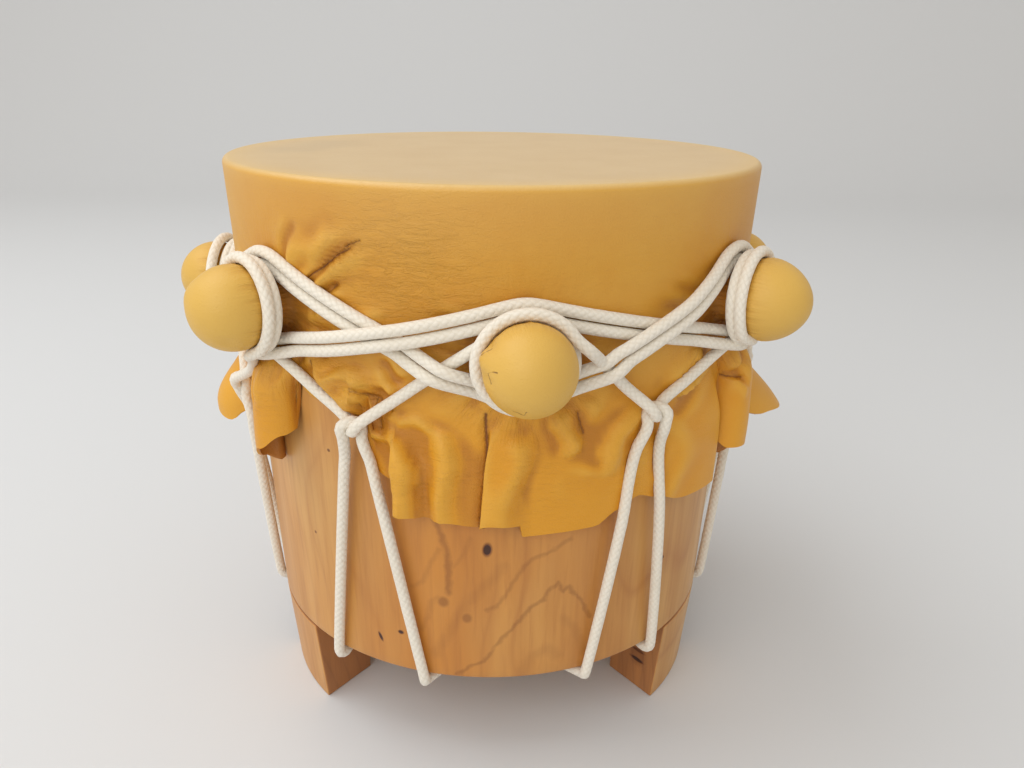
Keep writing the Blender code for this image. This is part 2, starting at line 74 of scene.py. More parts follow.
lens = bpy.data.cameras.new("view")
lens.sensor_width = 36.0
lens.lens = lens.sensor_width * FOCAL_PIXELS / IMAGE_WIDTH
lens.clip_start = 0.01
camera = placed("view", lens)
camera.matrix_world = (
    Matrix.Translation((AXIS.x, AXIS.y, HEIGHT))
    @ Matrix.Translation((0, -VIEW_DISTANCE, VIEW_RISE))
    @ Matrix.Rotation(-VIEW_YAW, 4, "Z")
    @ Matrix.Rotation(np.pi / 2 - VIEW_PITCH, 4, "X")
    @ Matrix.Rotation(VIEW_ROLL, 4, "Z")
)
bpy.context.scene.camera = camera
bpy.context.scene.view_settings.view_transform = "Standard"


# The room: a plain pale floor that turns up into a backdrop far behind, an even pale sky, one soft main
# light from the upper left and a broad weak one from the front.
FLOOR_HALF = 3.0
BACKDROP_START = 1.6
BACKDROP_BEND = 1.0
BACKDROP_HEIGHT = 3.5

stage_mesh = bmesh.new()
sweep = [(-FLOOR_HALF, 0.0), (BACKDROP_START, 0.0)]
for bend in np.radians(np.arange(6, 91, 6)):
    sweep.append((BACKDROP_START + BACKDROP_BEND * np.sin(bend), BACKDROP_BEND * (1 - np.cos(bend))))
sweep.append((BACKDROP_START + BACKDROP_BEND, BACKDROP_HEIGHT))
edges = [[stage_mesh.verts.new((x, y, z)) for y, z in sweep] for x in (-FLOOR_HALF, FLOOR_HALF)]
for i in range(len(sweep) - 1):
    stage_mesh.faces.new((edges[0][i], edges[1][i], edges[1][i + 1], edges[0][i + 1]))
floor_data = bpy.data.meshes.new("floor")
stage_mesh.to_mesh(floor_data)
stage_mesh.free()
floor_data.shade_smooth()
floor = placed("floor", floor_data)
pale = bpy.data.materials.new("pale_floor")
pale.use_nodes = True
pale_shader = pale.node_tree.nodes["Principled BSDF"]
pale_shader.inputs["Base Color"].default_value = (0.71, 0.725, 0.74, 1)
pale_shader.inputs["Roughness"].default_value = 0.6
floor_data.materials.append(pale)

sky = bpy.data.worlds.new("sky")
bpy.context.scene.world = sky
sky.use_nodes = True
even_light = sky.node_tree.nodes["Background"]
even_light.inputs["Color"].default_value = (1.0, 0.945, 0.875, 1)
even_light.inputs["Strength"].default_value = 0.66


def soft_light(name, place, size, watts, colour):
    """A square soft light that faces the drum."""
    data = bpy.data.lights.new(name, "AREA")
    data.size = size
    data.energy = watts
    data.color = colour
    light = placed(name, data)
    light.location = place
    way = Vector((AXIS.x, AXIS.y, HEIGHT / 2)) - light.location
    light.rotation_euler = way.to_track_quat("-Z", "Y").to_euler()


soft_light("main_light", (-1.0, 0.1, 1.8), 1.5, 15, (0.96, 0.98, 1.0))
soft_light("front_light", (-1.1, -1.9, 1.5), 2.0, 23, (0.97, 0.985, 1.0))


# The vessel: one hollow turned piece of honey-coloured wood with a flat floor, sanded and finished with
# a thin satin coat. It is a turned profile with the slight waviness of a hand-finished wall.
FOOT_HEIGHT = 0.0432
MOUTH_RADIUS = 0.1230
BASE_RADIUS = 0.1123
WALL = 0.0150
FLOOR_THICKNESS = 0.0220
HIDE_THICKNESS = 0.0015
CLEARANCE = 0.0003
RIM_HEIGHT = HEIGHT - HIDE_THICKNESS - CLEARANCE
VESSEL_SIDES = 240
WALL_ROWS = 60
WALL_WAVE = 0.0003
EDGE_ROUNDING = 0.0016
RIM_ROUNDING = 0.0020


def polar(radius, bearing, height):
    """Places on the drum, in the row frame, from arrays or single numbers."""
    angle = np.radians(bearing)
    across, along = radius * np.sin(angle), -radius * np.cos(angle)
    return np.stack(np.broadcast_arrays(across + AXIS.x, along + AXIS.y, height), -1)


def wood_radius(height):
    share = (height - FOOT_HEIGHT) / (RIM_HEIGHT - FOOT_HEIGHT)
    return BASE_RADIUS + (MOUTH_RADIUS - BASE_RADIUS) * share


def closed_mesh(name, places, faces, smooth_below=40):
    """A mesh object from points and faces, smooth but for its sharp corners."""
    data = bpy.data.meshes.new(name)
    data.from_pydata(places.tolist(), [], faces)
    data.validate()
    piece = placed(name, data)
    data.shade_smooth()
    data.set_sharp_from_angle(angle=np.radians(smooth_below))
    return piece


def ring_faces(rows, columns, start=0):
    """The faces between closed rings of points, each ring after the first below the last."""
    faces = []
    for row in range(rows - 1):
        for column in range(columns):
            upper, lower = start + row * columns, start + (row + 1) * columns
            beside = (column + 1) % columns
            faces.append((upper + column, lower + column, lower + beside, upper + beside))
    return faces


def turned(name, profile, sides, wave=None):
    """A closed turned piece. Its profile runs from the inside floor up, over and down to the underside."""
    bearings = np.arange(sides) * 360 / sides
    rings = []
    for radius, height in profile:
        reach = radius - (wave(bearings, height) if wave else 0)
        rings.append(polar(reach, bearings, height))
    places = np.concatenate(rings)
    faces = ring_faces(len(profile), sides)
    for ring, height, up in ((0, profile[0][1], True), (len(profile) - 1, profile[-1][1], False)):
        pole = len(places)
        places = np.concatenate([places, [(AXIS.x, AXIS.y, height)]])
        for column in range(sides):
            first, second = ring * sides + column, ring * sides + (column + 1) % sides
            faces.append((pole, first, second) if up else (pole, second, first))
    return closed_mesh(name, places, faces)


def wall_wave(bearings, height):
    """How far the hand-finished wall dips at each bearing."""
    angle = np.radians(bearings)
    dips = np.sin(3 * angle + 40 * height) + np.sin(7 * angle - 25 * height + 1) * 0.6
    dips = dips + np.sin(13 * angle + 2) * 0.3
    return WALL_WAVE * (dips + 2) / 4


inside_floor = FOOT_HEIGHT + FLOOR_THICKNESS
profile = [(wood_radius(inside_floor) - WALL, inside_floor), (MOUTH_RADIUS - WALL, RIM_HEIGHT)]
for bend in np.radians(np.arange(0, 91, 30)):
    reach = MOUTH_RADIUS - RIM_ROUNDING * (1 - np.sin(bend))
    profile.append((reach, RIM_HEIGHT - RIM_ROUNDING * (1 - np.cos(bend))))
for height in np.linspace(RIM_HEIGHT - 0.003, FOOT_HEIGHT + EDGE_ROUNDING, WALL_ROWS):
    profile.append((wood_radius(height), height))
for bend in np.radians((30, 60, 90)):
    reach = BASE_RADIUS - EDGE_ROUNDING * (1 - np.cos(bend))
    profile.append((reach, FOOT_HEIGHT + EDGE_ROUNDING * (1 - np.sin(bend))))
for share in (0.8, 0.5, 0.2):
    profile.append((BASE_RADIUS * share, FOOT_HEIGHT))
vessel = turned("wooden_vessel", profile, VESSEL_SIDES, wall_wave)


def node(tree, kind, inputs=None, **settings):
    """A node with its settings and inputs: an input is a number, a colour, or a socket to link from."""
    made = tree.nodes.new(kind)
    for key, value in settings.items():
        setattr(made, key, value)
    for key, value in (inputs or {}).items():
        if isinstance(value, bpy.types.NodeSocket):
            tree.links.new(value, made.inputs[key])
        else:
            made.inputs[key].default_value = value
    return made


def sums(tree, operation, first, second=0.0, third=None, clamp=False):
    """The result of one Math node."""
    inputs = {0: first, 1: second} if third is None else {0: first, 1: second, 2: third}
    return node(tree, "ShaderNodeMath", inputs, operation=operation, use_clamp=clamp).outputs[0]


def times(tree, first, second):
    return sums(tree, "MULTIPLY", first, second)


def vector(tree, operation, *values, scale=None, out=0):
    """The result of one Vector Math node: a vector, or its number with out=1."""
    inputs = dict(enumerate(values))
    if scale is not None:
        inputs["Scale"] = scale
    return node(tree, "ShaderNodeVectorMath", inputs, operation=operation).outputs[out]


def eased(tree, value, start, end, high=1.0, low=0.0):
    """A number that goes from low to high while the value goes from start to end."""
    inputs = {"Value": value, "From Min": start, "From Max": end, "To Min": low, "To Max": high}
    return node(tree, "ShaderNodeMapRange", inputs).outputs[0]


def attribute(tree, name, out="Fac"):
    """What the piece keeps on its points under this name."""
    return node(tree, "ShaderNodeAttribute", attribute_name=name).outputs[out]


def blended(tree, share, first, second):
    """The colour between two."""
    return node(tree, "ShaderNodeMix", {0: share, 6: first, 7: second}, data_type="RGBA").outputs[2]


def coated(tree, colour, coats):
    """A colour with others laid over it in turn, each by its share."""
    for share, coat in coats:
        colour = blended(tree, share, colour, coat)
    return colour


def ramp(tree, value, *stops):
    """A grey ramp through the stops, each a place and a level."""
    made = node(tree, "ShaderNodeValToRGB", {"Fac": value})
    for number, (place, level) in enumerate(stops):
        if number > 1:
            made.color_ramp.elements.new(place)
        made.color_ramp.elements[number].position = place
        made.color_ramp.elements[number].color = (level, level, level, 1)
    return made.outputs[0]


def noise(tree, place, scale, detail=3.0, roughness=0.55, stretch=None, distortion=0.0):
    """Even or stretched noise on the piece's own coordinates."""
    if stretch:
        place = node(tree, "ShaderNodeMapping", {"Vector": place, "Scale": stretch}).outputs[0]
    inputs = {"Vector": place, "Scale": scale, "Detail": detail}
    inputs.update({"Roughness": roughness, "Distortion": distortion})
    return node(tree, "ShaderNodeTexNoise", inputs).outputs[0]


def new_material(name, roughness):
    material = bpy.data.materials.new(name)
    material.use_nodes = True
    tree = material.node_tree
    shader = tree.nodes["Principled BSDF"]
    shader.inputs["Roughness"].default_value = roughness
    place = node(tree, "ShaderNodeTexCoord").outputs["Object"]
    return material, tree, shader, place


def bumps(tree, shader, layers):
    """Lays bump on bump. Each layer is a height from 0 to 1, its depth in metres and its strength."""
    normal = None
    for height, depth, strength in layers:
        inputs = {"Height": height, "Distance": depth, "Strength": strength}
        if normal is not None:
            inputs["Normal"] = normal
        normal = node(tree, "ShaderNodeBump", inputs).outputs[0]
    tree.links.new(normal, shader.inputs["Normal"])


def metres(kinds, rows):
    """The rows of a table, with the columns of the kind m turned from millimetres into metres.

    The columns of the kind d are degrees and shares, and stay as they are.
    """
    return [tuple(value / 1000 if kind == "m" else value for kind, value in zip(kinds, row)) for row in rows]


def drawn(rows):
    """Drawn lines: half width in millimetres, depth, then bearings and millimetres up or down in turn."""
    return [(half / 1000, depth, metres("dm", zip(ends[::2], ends[1::2]))) for half, depth, *ends in rows]


# Knots, holes and round stains in the wood: bearing, height, half width, half height, lean in degrees, depth
WOOD_MARKS = metres("dmmmdd", [
    (-0.9, 111.1, 2.1, 3.4, 4, 1), (-10.4, 83.6, 2.6, 2.8, 0, 0.42), (-5.3, 76, 2.3, 2.6, 0, 0.4),
    (-26.1, 58, 0.9, 2.6, -22, 0.95), (-20.7, 63.5, 1.5, 1.1, 0, 0.95), (43.5, 87.9, 1.2, 1, 0, 0.9),
    (42.2, 85.3, 0.9, 0.9, 0, 0.8), (-36, 146.8, 0.9, 0.8, 0, 0.7), (-43.8, 100.9, 0.8, 0.8, 0, 0.7),
    (118, 90, 2.4, 3.6, 10, 0.8), (205, 80, 1.8, 2.6, 0, 0.7), (262, 100, 1.5, 3, -8, 0.5)])
# Lines of the figure and runs of an old drip, with bearings and heights
WOOD_LINES = drawn([
    (1.5, 0.3, -7.8, 44.7, -4.7, 49.9, -1.7, 52.9, 0.5, 59.4, 2.7, 66.1, 6.6, 75.8, 9.1, 82.3, 11.5, 84.4,
     12.3, 88.5, 14.5, 92.1, 15.7, 87.3, 16.8, 89.5, 19, 83.4, 20.7, 79, 22.5, 71),
    (1.6, 0.23, -1, 80.3, 1.2, 82.5, 3.3, 89.3, 6.7, 102.4, 8.7, 106.2, 11.2, 107.7, 13.7, 110.4, 16.9,
     113.9),
    (3.6, 0.11, -12.7, 55.4, -7.9, 72.9, -5.3, 83.9, -2.4, 90.2, 2.5, 102.8),
    (2.2, 0.13, -15.6, 68, -13.9, 75.7, -13, 82.2, -11.5, 85.2),
    (1.8, 0.15, -17, 89.4, -14.7, 93.7, -12.6, 103.5, -11.1, 109.7),
    (2.1, 0.34, -11.8, 124, -10.3, 117.2, -9.2, 107.7), (2.2, 0.38, -9.2, 107.7, -9.1, 101.1, -9.2, 88.4),
    (1.8, 0.12, -8.4, 101.2, -6.2, 106.5, -4.4, 116.6), (4, 0.11, 7.4, 46.6, 9.2, 54.6, 13, 58, 15, 53.5),
    (3.2, 0.11, 16.1, 73.1, 18.7, 67.5, 20.6, 59.3, 21.4, 52.3)])
BLACK_MARK = (0.050, 0.012, 0.003, 1)
BROWN_MARK = (0.150, 0.038, 0.008, 1)
# The share of a line's half width over which it fades out
LINE_EDGE = 0.75


def near_lines(tree, place, lines):
    """How near each point is to drawn lines, from 0 to 1. A line is its half width, depth and places."""
    # Minimums and maximums stand for clamps, which are worked out last and would fill the renderer's stack
    most = 0.0 if lines else None
    for half_width, depth, ends in lines:
        for first, last in zip(ends, ends[1:]):
            way = last - first
            gap = vector(tree, "SUBTRACT", place, tuple(first))
            along = vector(tree, "DOT_PRODUCT", gap, tuple(way / (way @ way)), out=1)
            held = sums(tree, "MINIMUM", sums(tree, "MAXIMUM", along, 0.0), 1.0)
            away = vector(tree, "DISTANCE", gap, vector(tree, "SCALE", tuple(way), scale=held), out=1)
            shade = sums(tree, "MULTIPLY_ADD", away, -depth / (LINE_EDGE * half_width), depth / LINE_EDGE)
            most = sums(tree, "MAXIMUM", sums(tree, "MINIMUM", shade, depth), most)
    return most


def shaken(tree, place, scale, reach):
    """The piece's own coordinates moved about a little, for lines that waver."""
    fuzz = node(tree, "ShaderNodeTexNoise", {"Vector": place, "Scale": scale, "Detail": 2.0}).outputs["Color"]
    moves = vector(tree, "SUBTRACT", fuzz, (0.5, 0.5, 0.5))
    return vector(tree, "MULTIPLY_ADD", moves, (reach, reach, reach), place)


def honey_wood(name, colours, grain_centre, marks=(), lines=(), deep=0.0, thick=0.012):
    """Honey-coloured wood: growth rings cut by the turned wall, fine upright pores, knots, old drips and
    painted light at the sides.
    """
    base, dark, light = colours
    material, tree, shader, place = new_material(name, 0.42)
    x, y, z = node(tree, "ShaderNodeSeparateXYZ", {0: place}).outputs
    drift = noise(tree, place, 7.0, 2.5, 0.5, (1, 1, 0.45))
    wander = sums(tree, "MULTIPLY_ADD", drift, 0.11, -0.055)
    across = sums(tree, "MULTIPLY_ADD", z, 0.10, sums(tree, "SUBTRACT", x, grain_centre[0]))
    along = sums(tree, "SUBTRACT", y, grain_centre[1])
    reach = sums(tree, "SQRT", sums(tree, "ADD", times(tree, across, across), times(tree, along, along)))
    year = sums(tree, "FRACT", times(tree, sums(tree, "ADD", reach, wander), 120.0))
    late = ramp(tree, year, (0.0, 0.8), (0.10, 0.35), (0.5, 0.0), (0.86, 0.15), (1.0, 0.8))
    pores = noise(tree, place, 420.0, 4.0, 0.6, (1, 1, 0.035))
    streaks = noise(tree, place, 60.0, 4.0, 0.6, (1, 1, 0.06))
    patches = noise(tree, place, 14.0, 3.0, 0.55, (1, 1, 0.4))
    # Painted light: the wood is made paler towards its left and right sides as seen from the front, on top of
    # its own pale patches
    beside = eased(tree, sums(tree, "ABSOLUTE", sums(tree, "SUBTRACT", x, AXIS.x)), 0.030, 0.085, 0.55)
    pale = sums(tree, "ADD", ramp(tree, patches, (0.40, 0), (0.72, 0.7)), beside, clamp=True)
    fading = eased(tree, drift, 0.40, 0.62, 0.50, 0.18)
    colour = coated(tree, base, [
        (pale, light),
        (times(tree, late, fading), dark),
        (ramp(tree, streaks, (0.38, 0.0), (0.72, 0.46)), dark),
        (ramp(tree, pores, (0.50, 0.0), (0.75, 0.36)), dark)])
    layers = [(late, 0.0002, 0.2), (pores, 0.0002, 0.3)]
    wavering = shaken(tree, place, 240.0, 0.0030) if lines else place
    on_wall = [(half, depth, [polar(wood_radius(height), bearing, height) for bearing, height in ends])
               for half, depth, ends in lines]
    pits = near_lines(tree, wavering, on_wall)
    for bearing, height, half_width, half_height, tilt, depth in marks:
        where = {"Vector": place, "Scale": (half_width, thick, half_height),
                 "Location": tuple(polar(wood_radius(height) - deep, bearing, height)),
                 "Rotation": (0.0, np.radians(tilt), np.radians(bearing))}
        spot = node(tree, "ShaderNodeMapping", where, vector_type="TEXTURE").outputs[0]
        spot = eased(tree, vector(tree, "LENGTH", spot, out=1), 1.2, 0.6, depth)
        pits = spot if pits is None else sums(tree, "MAXIMUM", pits, spot)
    if pits is not None:
        colour = coated(tree, colour, [(sums(tree, "MULTIPLY", pits, 1.15, clamp=True), BROWN_MARK),
                                       (ramp(tree, pits, (0.72, 0), (0.98, 1)), BLACK_MARK)])
        layers.append((ramp(tree, pits, (0.45, 1), (1.0, 0)), 0.0008, 0.6))
    tree.links.new(colour, shader.inputs["Base Color"])
    tree.links.new(ramp(tree, streaks, (0.3, 0.36), (0.7, 0.5)), shader.inputs["Roughness"])
    shader.inputs["Coat Weight"].default_value = 0.07
    shader.inputs["Coat Roughness"].default_value = 0.3
    bumps(tree, shader, layers)
    return material


# Colours of the wood: most of it, its dark lines and its pale patches, which also serve for the painted light
# at its sides
HONEY = ((0.61, 0.248, 0.038, 1), (0.38, 0.130, 0.026, 1), (0.67, 0.372, 0.112, 1))
GRAIN_CENTRE = (AXIS.x - 0.012, AXIS.y + 0.02)
vessel.data.materials.append(honey_wood("honey_wood", HONEY, GRAIN_CENTRE, WOOD_MARKS, WOOD_LINES))
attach(vessel, "root")
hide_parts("vessel")


# The feet: three wedges sawn from the same wood and glued on under the floor, so that their outer faces
# carry on the wall. The sawn faces are darker and redder, and the edges are lightly broken.
FOOT_BEARINGS = {"foot_left": -62.5, "foot_right": 61.8, "foot_back": 180.0}
FOOT_TOE_RADIUS = 0.1082
FOOT_OUTER_WIDTH = 0.0508
FOOT_INNER_WIDTH = 0.0250
FOOT_DEPTH = 0.0300
FOOT_ARC_STEPS = 12
FOOT_ROWS = 10
FOOT_EDGE = 0.0007
INNER_SPREAD = np.degrees(np.arctan2(FOOT_INNER_WIDTH / 2, FOOT_TOE_RADIUS - FOOT_DEPTH))
INNER_REACH = np.hypot(FOOT_TOE_RADIUS - FOOT_DEPTH, FOOT_INNER_WIDTH / 2)


def foot_block(name, bearing):
    """One wedge foot with broken edges, its outer face on the line of the wall."""
    top = FOOT_HEIGHT - CLEARANCE
    rings = []
    for height in np.linspace(top, 0.0, FOOT_ROWS):
        share = (top - height) / top
        radius = wood_radius(top) + (FOOT_TOE_RADIUS - wood_radius(top)) * share
        half = np.degrees(np.arcsin(FOOT_OUTER_WIDTH / 2 / radius))
        steps = np.linspace(-half, half, FOOT_ARC_STEPS + 1)
        ring = [polar(radius, bearing + step, height) for step in steps]
        ring += [polar(INNER_REACH, bearing + turn, height) for turn in (INNER_SPREAD, -INNER_SPREAD)]
        rings.append(ring)
    sides = len(rings[0])
    block = bmesh.new()
    rows = [[block.verts.new(place) for place in ring] for ring in rings]
    for upper, lower in zip(rows, rows[1:]):
        for i in range(sides):
            block.faces.new((upper[i], lower[i], lower[(i + 1) % sides], upper[(i + 1) % sides]))
    block.faces.new(rows[0])
    block.faces.new(rows[-1])
    bmesh.ops.recalc_face_normals(block, faces=block.faces)
    data = bpy.data.meshes.new(name)
    block.to_mesh(data)
    block.free()
    piece = placed(name, data)
    broken = piece.modifiers.new("broken_edges", "BEVEL")
    broken.width = FOOT_EDGE
    broken.segments = 2
    broken.limit_method = "ANGLE"
    broken.angle_limit = np.radians(35)
    data.shade_smooth()
    data.set_sharp_from_angle(angle=np.radians(35))
    return piece


SAWN = ((0.36, 0.130, 0.036, 1), (0.20, 0.070, 0.028, 1), (0.52, 0.220, 0.062, 1))
# The dark knot on the sawn side of the right foot: bearing, height, half width, half height, lean and depth
FOOT_MARKS = metres("dmmmdd", [
    (49.8, 16, 6, 1.4, 0, 1), (49.7, 21.5, 5, 1.2, 0, 0.8), (49.6, 18.5, 9, 6, 0, 0.4)])
for foot_name, foot_bearing in FOOT_BEARINGS.items():
    block = foot_block(foot_name + "_block", foot_bearing)
    marks = FOOT_MARKS if foot_name == "foot_right" else ()
    block.data.materials.append(honey_wood(foot_name + "_outer_wood", HONEY, (AXIS.x, AXIS.y)))
    block.data.materials.append(
        honey_wood(foot_name + "_sawn_wood", SAWN, (AXIS.x, AXIS.y + 0.05), marks, deep=0.0135, thick=0.005))
    outward = polar(1.0, foot_bearing, 0.0) - polar(0.0, foot_bearing, 0.0)
    for face in block.data.polygons:
        face.material_index = 0 if np.dot(face.normal, outward) > 0.8 else 1
    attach(block, "root")
    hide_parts(foot_name)


# The balls: plain round cores that the hide is tied over, one inside each knob. Nothing of them shows, so
# they keep their solids and only get a plain wood finish.
for number in range(1, 8):
    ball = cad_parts[f"ball_{number}"]
    finish = honey_wood(f"ball_wood_{number}", HONEY, (AXIS.x, AXIS.y))
    for slot in ball.material_slots:
        slot.material = finish


# Where the cord runs: the drum's side rolled out flat, u along it and v upwards from the head, with the
# knobs, the Vs between them, and the turns and crossings that the cord makes there.
CORD_DIAMETER = 0.0048
CORD_CLEARANCE = 0.0005
FACET_ROOM = 0.0006
HIDE_BUILD = HIDE_THICKNESS + CLEARANCE
CORD_RADIUS = CORD_DIAMETER / 2
CORD_SEAT = CORD_RADIUS + CORD_CLEARANCE
CORD_PITCH = CORD_DIAMETER + CORD_CLEARANCE
CROSSING_PITCH = CORD_PITCH + FACET_ROOM
FLARE_START_DROP = 0.0840
FLARE_CURVE = 1.4
CORD_HEM = metres("dm", [
    (-57, 126), (-46, 117), (-36, 103), (-23, 104), (-17, 129), (-4, 138), (7, 140), (22, 140), (32, 134),
    (45, 138), (60, 137), (72, 126), (84, 106), (100, 112), (112, 120), (132, 108), (152, 132), (170, 126),
    (188, 107), (206, 130), (222, 127), (238, 104), (256, 112), (270, 122), (286, 108), (295, 120)])
CORD_FLARE = metres("dm", [
    (-66, 1), (-56, 9), (-47, 8), (-36, 1), (-20, 1), (-7, 3), (8, 3.5), (20, 1), (42, 1), (52, 4),
    (66, 10), (80, 1), (95, 2), (107, 16), (118, 2), (144, 2), (158, 12), (170, 2), (197, 2), (213, 11),
    (226, 2), (251, 2), (263, 14), (276, 1)])
KNOBS = metres("dm", [
    (5.5, 62.5), (53.5, 50.5), (107, 62), (158, 54), (213.5, 59), (266.5, 64), (313.5, 52)])
BALL_RADIUS = 0.0155
BALL_STANDOFF = 0.0195
NECK_RADIUS = 0.0122
KNOB_RADIUS = BALL_RADIUS + CLEARANCE + HIDE_THICKNESS
TURN_STANDOFF = 0.0076
TURN_LAST_STANDOFF = 0.0150
TURN_ANGLES = np.radians(np.arange(150, -331, -15))
UNDER_TURN_ANGLES = np.radians(np.arange(-50, 591, 15))
UNDER_TURN_STANDOFF = 0.0078
# Knobs that the cord comes to from underneath, and whether its first or its last turn lies lowest
UNDER_KNOBS = {1: "first", 6: "last"}
LOW_STANDOFF = 0.0070
LIFT_FALL = 0.45
CLIMB_TOP = 0.85
CLIMB_SHARES = (0.30, 0.55, 0.75, 0.86)
WRAP_RADIUS = NECK_RADIUS + CORD_SEAT
WRAP_STEP = 0.2
WRAP_START = 5
CROSSING_LOW = 0.0120
CROSSING_HIGH = 0.0170
RUN_STEP = 0.0200
LIFT_END = 0.08
LIFT_SLOPE = 10
HOOK_BEND = 0.0040
HOOK_EASE = 0.0150
LEG_SPREAD = 0.0062
VALLEY_BEND = [(-1.0, 0.75), (-0.55, 0.10), (0, -0.2), (0.55, 0.10), (1.0, 0.75)]
VALLEY_LIFTS = [-0.45, -0.35, 0, 0.35, 0.45]
LACING_BEND = [(-0.88, -1.0), (-0.72, 0.35), (0, 0.85), (0.72, 0.35), (0.88, -1.0)]
LACING_LIFTS = [-0.12, -0.4, 0, 0.4, 0.30]
VALLEY_HOOKS = [-1, 1, 1, 1, 1, 1, 1]
CHORD_HALF = 0.0035
LACING_SKIP = 3
VALLEYS = metres("dmdd", [
    (31.7, 92.2, 21.8, 40.8), (81, 96, 79, 94), (132, 93, 117, 141), (186, 93, 160, 201.5),
    (240, 95, 226.5, 246), (289, 104, 269, 281), (333.8, 96.8, 322.2, 345.1)])


def around(table, bearing):
    """A smooth closed curve through a table of bearings and values, read at one bearing or at many."""
    places, values = (np.array(column) for column in zip(*table))
    places, values = np.append(places, places[0] + 360), np.append(values, values[0])
    turn = (np.asarray(bearing, float) - places[0]) % 360 + places[0]
    last = np.clip(np.searchsorted(places, turn + 1e-9, side="right") - 1, 0, len(places) - 2)
    share = (turn - places[last]) / (places[last + 1] - places[last])
    share = share * share * (3 - 2 * share)
    return values[last] + (values[last + 1] - values[last]) * share


def skirt_reach(bearing, drop):
    share = np.clip((drop - FLARE_START_DROP) / (around(CORD_HEM, bearing) - FLARE_START_DROP), 0, 1)
    return around(CORD_FLARE, bearing) * share ** FLARE_CURVE


def side_radius(bearing, drop):
    return wood_radius(HEIGHT - drop) + HIDE_BUILD + skirt_reach(bearing, drop)


ROUND = float(side_radius(0, KNOBS[0][1]))


def laid(u, v, standoff):
    """The place in space of a point of a cord that lies on the side."""
    bearing = np.degrees(u / ROUND)
    return polar(side_radius(bearing, -v) + standoff, bearing, HEIGHT + v)


def unrolled(places):
    """The reverse of laid, for one place or a line of them."""
    x, y = places[..., 0] - AXIS.x, places[..., 1] - AXIS.y
    bearing = np.degrees(np.arctan2(x, -y))
    v = places[..., 2] - HEIGHT
    return np.stack([np.radians(bearing) * ROUND, v, np.hypot(x, y) - side_radius(bearing, -v)], -1)


def nearer_way(gap):
    """A distance along the rolled-out side, taken the shorter way round."""
    half = np.pi * ROUND
    return (gap + half) % (2 * half) - half


def flat_place(bearing, drop):
    return np.array([np.radians(bearing) * ROUND, -drop])


def knob_place(bearing, drop):
    """Where a knob's axis leaves the side, and the knob's three directions."""
    start = polar(side_radius(bearing, drop), bearing, HEIGHT - drop)
    angle = np.radians(bearing)
    return start, np.array([np.sin(angle), -np.cos(angle), 0]), np.array([np.cos(angle), np.sin(angle), 0])


UP = np.array([0.0, 0.0, 1.0])


def knob_turn(index):
    """The cord's turn round a knob: over the top from left to right, or twice round from underneath."""
    lowest = UNDER_KNOBS.get(index % len(KNOBS))
    angles = UNDER_TURN_ANGLES if lowest else TURN_ANGLES
    standoffs = np.linspace(UNDER_TURN_STANDOFF if lowest else TURN_STANDOFF, TURN_LAST_STANDOFF, len(angles))
    if lowest == "last":
        standoffs = standoffs[::-1]
    bearing, drop = KNOBS[index % len(KNOBS)]
    start, outward, across = knob_place(bearing, drop)
    points = []
    for standoff, angle in zip(standoffs, angles):
        room = KNOB_RADIUS + CORD_SEAT
        radius = max(np.sqrt(room ** 2 - (BALL_STANDOFF - standoff) ** 2), NECK_RADIUS + CORD_SEAT)
        points.append(start + outward * standoff + (across * np.cos(angle) + UP * np.sin(angle)) * radius)
    return points


def middle_of(table, index):
    """The flat place of a knob or a V, counted on round the drum."""
    turns, which = divmod(index, len(table))
    return flat_place(table[which][0] + 360 * turns, table[which][1])


def climb(share, standoff):
    return CORD_SEAT + (standoff - CORD_SEAT) * min(share / CLIMB_TOP, 1) ** 3


def knob_cord_route():
    """Round each knob, and down to a V between each pair."""
    points = []
    for index in range(len(KNOBS)):
        turn = knob_turn(index)
        points += turn
        valley = middle_of(VALLEYS, index)
        side = VALLEY_HOOKS[index]
        leave, arrive = unrolled(turn[-1]), unrolled(knob_turn(index + 1)[0])
        for flat in (leave, arrive):
            flat[0] = valley[0] + nearer_way(flat[0] - valley[0])
        low = valley + HOOK_BEND * np.array(VALLEY_BEND)
        lifts = CORD_SEAT + CROSSING_PITCH * (0.5 + np.array(VALLEY_LIFTS) * side)
        for share in reversed(CLIMB_SHARES):
            points.append(laid(*(low[0] + (leave[:2] - low[0]) * share), climb(share, leave[2])))
        points += [laid(*flat, lift) for flat, lift in zip(low, lifts)]
        for share in CLIMB_SHARES:
            points.append(laid(*(low[-1] + (arrive[:2] - low[-1]) * share), climb(share, arrive[2])))
    return points


def leaves(start, end, start_radius, end_radius, over):
    """The ends of a taut run from the top of one circle to the bottom of the next, or the reverse."""
    span = end - start
    lean = np.arcsin((start_radius + end_radius) / np.hypot(*span)) * (-1 if over else 1)
    way = np.arctan2(span[1], span[0]) + lean
    side = np.array([-np.sin(way), np.cos(way)]) * (1 if over else -1)
    return start + side * start_radius, end - side * end_radius


def arc(centre, radius, first, last):
    start, end = (np.arctan2(*(point - centre)[::-1]) for point in (first, last))
    turn = (end - start + np.pi) % (2 * np.pi) - np.pi
    steps = max(int(np.ceil(abs(turn) / WRAP_STEP)), 1)
    angles = start + turn * np.arange(steps + 1) / steps
    return [centre + radius * np.array([np.cos(angle), np.sin(angle)]) for angle in angles]


def meeting(start, end, other_start, other_end):
    way, other_way, gap = end - start, other_end - other_start, other_start - start
    cross = way[0] * other_way[1] - way[1] * other_way[0]
    along, across = (gap[0] * line[1] - gap[1] * line[0] for line in (other_way, way))
    return along / cross, across / cross


